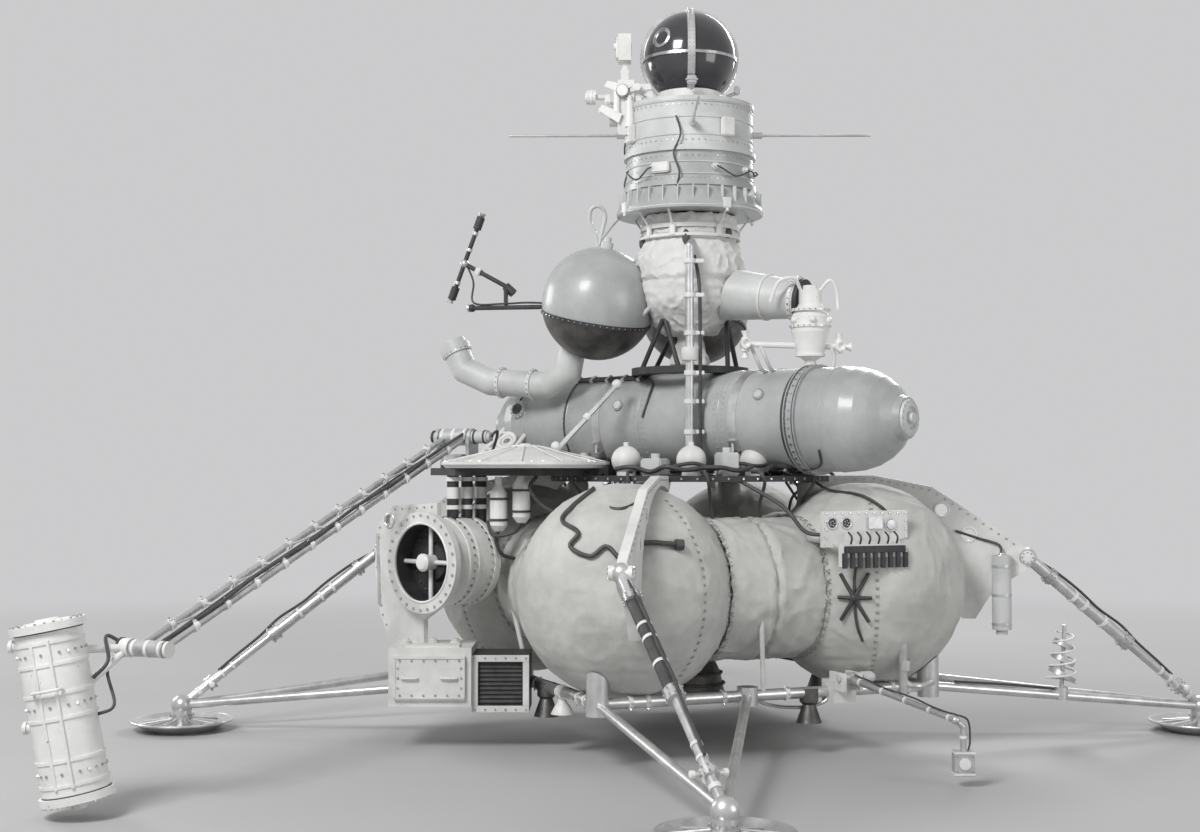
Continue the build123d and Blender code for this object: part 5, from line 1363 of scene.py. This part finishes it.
# %% Drill canister
CANISTER = Vector((-2.682, -2.275, 0.435))
LEAN = Vector((-0.1857, 0, 0.9826)).normalized()
ACROSS = LEAN.cross(TO_FRONT)
CAN_R, CAN_HALF = 0.136, 0.3675


def in_canister(along, front=0.0, across=0.0):
    return CANISTER + LEAN * along + TO_FRONT * front + ACROSS * across


ribs, seals = Fittings(), Fittings()
for along in (-0.29, -0.19, -0.02, 0.08, 0.20, 0.29):
    ribs.hoop(in_canister(along), LEAN, CAN_R + 0.005, 0.009, 0.012)
ribs.turned(in_canister(CAN_HALF - 0.002), LEAN, [(0, 0.098), (0.009, 0.094), (0.010, 0.05), (0.018, 0.044)])
for across in (-0.035, 0.035):
    ribs.rod(in_canister(-0.30, CAN_R, across), in_canister(0.30, CAN_R, across), 0.007, sides=12)
for along in (0.2646, -0.0735):
    ribs.turned(in_canister(along) - Vector((CAN_R + 0.022, 0, 0)), (-1, 0, 0),
                [(0, 0.027), (0.014, 0.027), (0.020, 0.016), (0.022, 0)], 28)
handle = ((0.13, 0.06), (0.163, 0.045), (0.163, -0.045), (0.13, -0.06))
ribs.hose([in_canister(0.10, front, across) for front, across in handle], 0.007, 10, 5)
ribs.done("Canister_ribs", bright, "drill_head")
spots = []
for end, way in ((CAN_HALF, LEAN), (-CAN_HALF, -LEAN)):
    spots += ring_spots(in_canister(end), way, 0.143, 24, outward=False)
    seals.hoop(in_canister(end) - way * 0.034, LEAN, CAN_R + 0.003, 0.006, 0.006)
for along in (-0.24, 0.03, 0.245):
    spots += ring_spots(in_canister(along), LEAN, CAN_R - 0.0003, 24)
bolts("Canister_bolts", spots, 0.006, 0.006, body="drill_head")
elbow_out = on_boom(BOOM_LONG, -0.146)
seals.hoop(elbow_out, ASIDE, 0.043, 0.006, 0.010, 36)
for near, far, r in ((((0, 0, 0.02), (-0.06, -0.03, 0.05)), ((0.17, 0.05, 0.20), (0.115, 0.03, 0.13)), 0.008),
                     (((0, 0, -0.03), (-0.05, -0.04, -0.09)), ((0.20, 0.04, 0.02), (0.13, 0.02, -0.02)),
                      0.007)):
    seals.hose(shifted(elbow_out, *near) + shifted(CANISTER, *far), r)
seals.done("Canister_seals", rubber, "drill_head")

# %% [markdown]
# The four legs are alike, so one loop dresses them all: rim, ribs and bolts on the dish, clamps and a hose on
# the strut, bolts on its top fitting, and rolled rims on the holes of the crescent plate. Only the front
# strut wears a black sleeve, which paints the shade and dark reflection on that strut.

# %% Legs and dishes
KNUCKLE_REACH, KNUCKLE_Z = 2.78, 0.135
TOP_REACH, TOP_Z, TOP_TURN = 1.787, 0.965, -12.5
FEET = {"front": -90, "right": 0, "back": 90, "left": 180}
dishes, dish_ribs, strut_bands, strut_hoses_and_shade_sleeve, hole_rims = [Fittings() for _ in range(5)]
dish_bolts, leg_bolts, plate_rivets = [], [], []
for leg, degrees in FEET.items():
    foot, knuckle = compass(KNUCKLE_REACH, degrees, 0), compass(KNUCKLE_REACH, degrees, KNUCKLE_Z)
    top = compass(TOP_REACH, degrees + TOP_TURN, TOP_Z)
    dishes.torus(foot + UP * 0.0545, UP, 0.2705, 0.0065, 72)
    dishes.hoop(foot + UP * 0.074, UP, 0.0595, 0.010, 0.014, 40)
    for n in range(12):
        out = compass(1, degrees + 15 + 30 * n, 0)
        dish_ribs.rod(foot + out * 0.054 + UP * 0.062, foot + out * 0.222 + UP * 0.038, 0.006, sides=8)
        turn = degrees + 30 * n
        dish_bolts.append((foot + compass(0.060, turn, 0.082), compass(1, turn, 0), UP))
    for n in range(24):
        turn = degrees + 15 * n
        dish_bolts.append((foot + compass(0.130, turn + 7.5, 0.0095), UP, compass(1, turn, 0)))
    length = (top - knuckle).length
    along = (top - knuckle) / length
    over = (UP - along * UP.dot(along)).normalized()
    aside = Vector((-along.y, along.x, 0)).normalized()
    for at, r, wide in ((0.115, 0.027, 0.022), (0.27, 0.0255, 0.014), (0.34, 0.0255, 0.014),
                        (0.62, 0.0355, 0.016),
                        (0.80, 0.0355, 0.016), (0.95, 0.0355, 0.016), (1.03, 0.0355, 0.016)):
        strut_bands.hoop(knuckle + along * at, along, r, 0.006, wide, 36)
    for at, half, r in ((0.190, 0.016, 0.0366), (0.45 * length, 0.020, 0.0408),
                        (length - 0.170, 0.010, 0.0408)):
        for shift in (-half, half):
            leg_bolts += ring_spots(knuckle + along * (at + shift), along, r, 10)
    for way in (-aside, aside):
        strut_bands.turned(knuckle + along * 0.190 + way * 0.075, way,
                           [(-0.012, 0.016), (0.004, 0.016), (0.008, 0.010)], 24)
    line = [top - along * 0.05 + over * 0.020]
    line += [knuckle + along * length * share + over * lift for share, lift in
             ((0.86, 0.040), (0.74, 0.047), (0.62, 0.040), (0.50, 0.052), (0.40, 0.038), (0.28, 0.034),
              (0.19, 0.028))]
    strut_hoses_and_shade_sleeve.hose(line, 0.0075)
    # Painted shade: a black sleeve on the front strut alone stands for the shade and dark reflection on it.
    if leg == "front":
        strut_hoses_and_shade_sleeve.rod(knuckle + along * (0.45 * length + 0.032), top - along * 0.195, 0.0335, sides=32)
    for normal in (compass(1, degrees + TOP_TURN + 90, 0), compass(1, degrees + TOP_TURN - 90, 0)):
        for reach, z in ((1.490, 1.080), (1.350, 1.210)):
            hole_rims.torus(compass(reach, degrees + TOP_TURN, z) + normal * 0.023, normal, 0.037, 0.006, 36)
        for (ra, za), (rb, zb), count in (((0.80, 1.372), (1.00, 1.372), 5),
                                          ((1.04, 1.364), (1.29, 1.314), 7),
                                          ((1.33, 1.292), (1.72, 1.034), 11)):
            a, b = [compass(r, degrees + TOP_TURN, z) + normal * 0.0231 for r, z in ((ra, za), (rb, zb))]
            plate_rivets += row_spots(a, b, count, normal)
        cap = top + normal * 0.044
        hole_rims.turned(cap, normal, [(-0.02, 0.034), (0.010, 0.034), (0.014, 0.022)], 32)
        leg_bolts += ring_spots(cap + normal * 0.010, normal, 0.027, 8, outward=False)
dishes.done("Dish_rims", tube)
dish_ribs.done("Dish_ribs", alloy)
strut_bands.done("Strut_bands", bright)
strut_hoses_and_shade_sleeve.done("Strut_hoses_and_painted_shade_sleeve", rubber)
hole_rims.done("Bracket_hole_rims", bright)
bolts("Dish_bolts", dish_bolts, 0.006, 0.006)
bolts("Leg_bolts", leg_bolts, 0.005, 0.006)
rivets("Bracket_rivets", plate_rivets, 0.0065, 0.0045, 0.005)

# %% [markdown]
# The square base frame has a clamp with bolts near each corner and a bundle of two pipes along each side.
# Under the tanks the main engine gets hoops on its bell and feed lines from each tank.

# %% Base frame and main engine
CORNER_REACH, BASE_Z = 1.300, 0.310
frame_clamps, frame_pipes, engine_rings, engine_pipes = [Fittings() for _ in range(4)]
clamp_bolts = []
for degrees in TANKS.values():
    a, b = compass(CORNER_REACH, degrees, BASE_Z), compass(CORNER_REACH, degrees + 90, BASE_Z)
    inward = compass(-1, degrees + 45, 0)
    for share in (0.09, 0.14, 0.36, 0.55, 0.88, 0.93):
        frame_clamps.hoop(a.lerp(b, share), b - a, 0.0325, 0.008, 0.020, 32)
        clamp_bolts += ring_spots(a.lerp(b, share), b - a, 0.0322, 6)
    frame_pipes.hose([a.lerp(b, s) + inward * (0.042 + 0.004 * math.sin(20 * s)) + UP * 0.012
                      for s in [0.10 + 0.1 * k for k in range(9)]], 0.008)
    frame_pipes.hose([a.lerp(b, s) + inward * 0.036 - UP * (0.014 + 0.003 * math.sin(17 * s))
                      for s in [0.12 + 0.095 * k for k in range(9)]], 0.006)
    for z, shift in ((0.60, 9), (0.72, -9)):
        engine_pipes.hose(round_axis(degrees, (0.47, shift, z), (0.40, shift, z - 0.03), (0.30, shift * 2, z),
                                     (0.21, shift * 2, z)), 0.014)
for z, r in ((0.196, 0.1935), (0.262, 0.1840), (0.318, 0.1700)):
    engine_rings.torus((0, 0, z), UP, r, 0.007, 64)
for z in (0.66, 0.92, 1.06):
    engine_rings.hoop((0, 0, z), UP, 0.2245, 0.006, 0.020, 64)
frame_clamps.done("Frame_clamps", bright)
frame_pipes.done("Frame_pipes", rubber)
engine_rings.done("Engine_rings", scorch_and_painted_shade)
engine_pipes.done("Engine_feeds", tube)
bolts("Frame_clamp_bolts", clamp_bolts, 0.005, 0.007)

# %% [markdown]
# At the right front stand the probe with its bracket, the conical antenna and the small hanging canister.
# Whatever sits on the probe's arm rides on the probe.

# %% Probe, antenna and canister
PROBE_ROOT = Vector((0.7517, -0.8035, 0.386))
PROBE_TIP = PROBE_ROOT + PANEL_OUT * 0.85 + Vector((0.040, 0, -0.090))
PROBE_BOX = PROBE_TIP + Vector((0.034, 0, -0.190))
reach = (PROBE_TIP - PROBE_ROOT).normalized()
probe_trim, probe_cables, bracket_trim = Fittings(), Fittings(), Fittings()
for share in (0.12, 0.34, 0.56, 0.78, 0.95):
    probe_trim.hoop(PROBE_ROOT.lerp(PROBE_TIP, share), reach, 0.0205 - 0.004 * share, 0.005, 0.016, 28)
for z in (-0.048, 0.048):
    probe_trim.box(PROBE_BOX + UP * z, (0.096, 0.076, 0.010), ease=0.002)
probe_trim.turned(PROBE_BOX + TO_FRONT * 0.034, TO_FRONT, [(0, 0.026), (0.008, 0.026), (0.010, 0.015)], 28)
probe_trim.hoop(PROBE_TIP + Vector((0.034, 0, -0.075)), UP, 0.017, 0.005, 0.012, 24)
probe_trim.done("Probe_trim", bright, "probe")
line = [PROBE_ROOT + reach * 0.05 + UP * 0.024]
line += [PROBE_ROOT.lerp(PROBE_TIP, s) + UP * (0.023 + 0.004 * math.sin(13 * s)) for s in (0.2, 0.35, 0.5,
                                                                                           0.65, 0.8, 0.93)]
line += shifted(PROBE_TIP, (0, 0, 0.026), (0.055, 0, 0)) + shifted(PROBE_BOX, (0.03, 0, 0.10),
                                                                   (0.02, 0, 0.05))
probe_cables.hose(line, 0.0045)
probe_cables.done("Probe_cable", rubber, "probe")
spots = [(PROBE_BOX + Vector((x, -0.0352, z)), TO_FRONT,
          UP) for x in (-0.034, 0.034) for z in (-0.034, 0.034)]
bolts("Probe_screws", spots, 0.004, 0.004, body="probe")
for way in (-PANEL_ALONG, PANEL_ALONG):
    bracket_trim.turned(PROBE_ROOT + way * 0.054, way, [(0, 0.020), (0.010, 0.020), (0.014, 0.010)], 28)
for start, end, r in ((0.066, 0.125, 0.030), (0.125, 0.140, 0.020)):
    bracket_trim.rod(PROBE_ROOT + PANEL_ALONG * start, PROBE_ROOT + PANEL_ALONG * end, r)
bracket_trim.done("Probe_drive", pale_grey)

ANTENNA_FOOT = compass(KNUCKLE_REACH, 0, KNUCKLE_Z).lerp(compass(CORNER_REACH, -22.5, BASE_Z), 0.526)
HANGING = Vector((1.602, -0.419, 0))
coil, straps, leads = Fittings(), Fittings(), Fittings()
coil.hose([ANTENNA_FOOT + Vector((0.02 * t / 4.5, 0, 0.065 + 0.062 * t)) + compass(0.078 - 0.007 * t,
                                                                                   360 * t, 0)
           for t in [n / 12 for n in range(54)]], 0.0055, 10, 2)
for height in (0.10, 0.18, 0.26):
    coil.cap(ANTENNA_FOOT + Vector((height * 0.055, 0, height)), UP, 0.019, 0.016, 24)
coil.turned(ANTENNA_FOOT + Vector((0.02, 0, 0.368)), UP, [(0, 0.014), (0.006, 0.014), (0.010, 0)], 24)
coil.done("Antenna_coil", bright)
for z in (0.62, 0.77, 0.92):
    straps.hoop(HANGING + UP * z, UP, 0.0525, 0.006, 0.014, 40)
straps.turned(HANGING + UP * 0.972, UP, [(0, 0.038), (0.006, 0.036), (0.008, 0.016), (0.016, 0.014)], 32)
straps.done("Hanging_canister_straps", alloy)
leads.hose([*shifted(HANGING, (0, 0, 0.985), (-0.01, 0.02, 1.03)), (1.50, -0.36, 1.06),
            (1.38, -0.335, 1.10)], 0.007)
leads.hose([*shifted(ANTENNA_FOOT, (0, 0, 0.03), (-0.08, 0, 0.04)), (1.62, -0.36, 0.30),
            (1.35, -0.45, 0.325)], 0.007)
leads.done("Right_leads", rubber)

# %% [markdown]
# The photograph shows nothing of the back. It gets a plain set of its own: two round bottles between the
# tanks, their pipes, and cables down from the deck.

# %% Back side
bottles, bottle_pipes, back_cables = Fittings(), Fittings(), Fittings()
for degrees in (22.5, 112.5):
    at = compass(0.92, degrees, 1.215)
    bottles.ball(at, 0.105, sides=40)
    for turn in (0, 90):
        bottle_pipes.torus(at, compass(1, degrees + turn, 0), 0.1065, 0.006, 56)
    bottle_pipes.rod(at + UP * 0.10, at + UP * 0.150, 0.016)
    bottle_pipes.hose([at + UP * 0.12, at + compass(0.06, degrees + 60, 0.14),
                       *round_axis(degrees, (0.84, 12, 1.34), (0.72, 12, 1.345))], 0.010)
    bottle_pipes.rod(at - UP * 0.10, compass(0.90, degrees, 1.00), 0.018)
    for turn in (-14, 9, 15):
        back_cables.hose(round_axis(degrees, (0.72, turn, 1.35), (0.80, turn, 1.26), (0.83, turn * 0.7, 1.16),
                                    (0.80, turn * 0.5, 1.06)), 0.008)
bottles.done("Gas_bottles", grey)
bottle_pipes.done("Gas_bottle_pipes", tube)
back_cables.done("Back_cables", rubber)
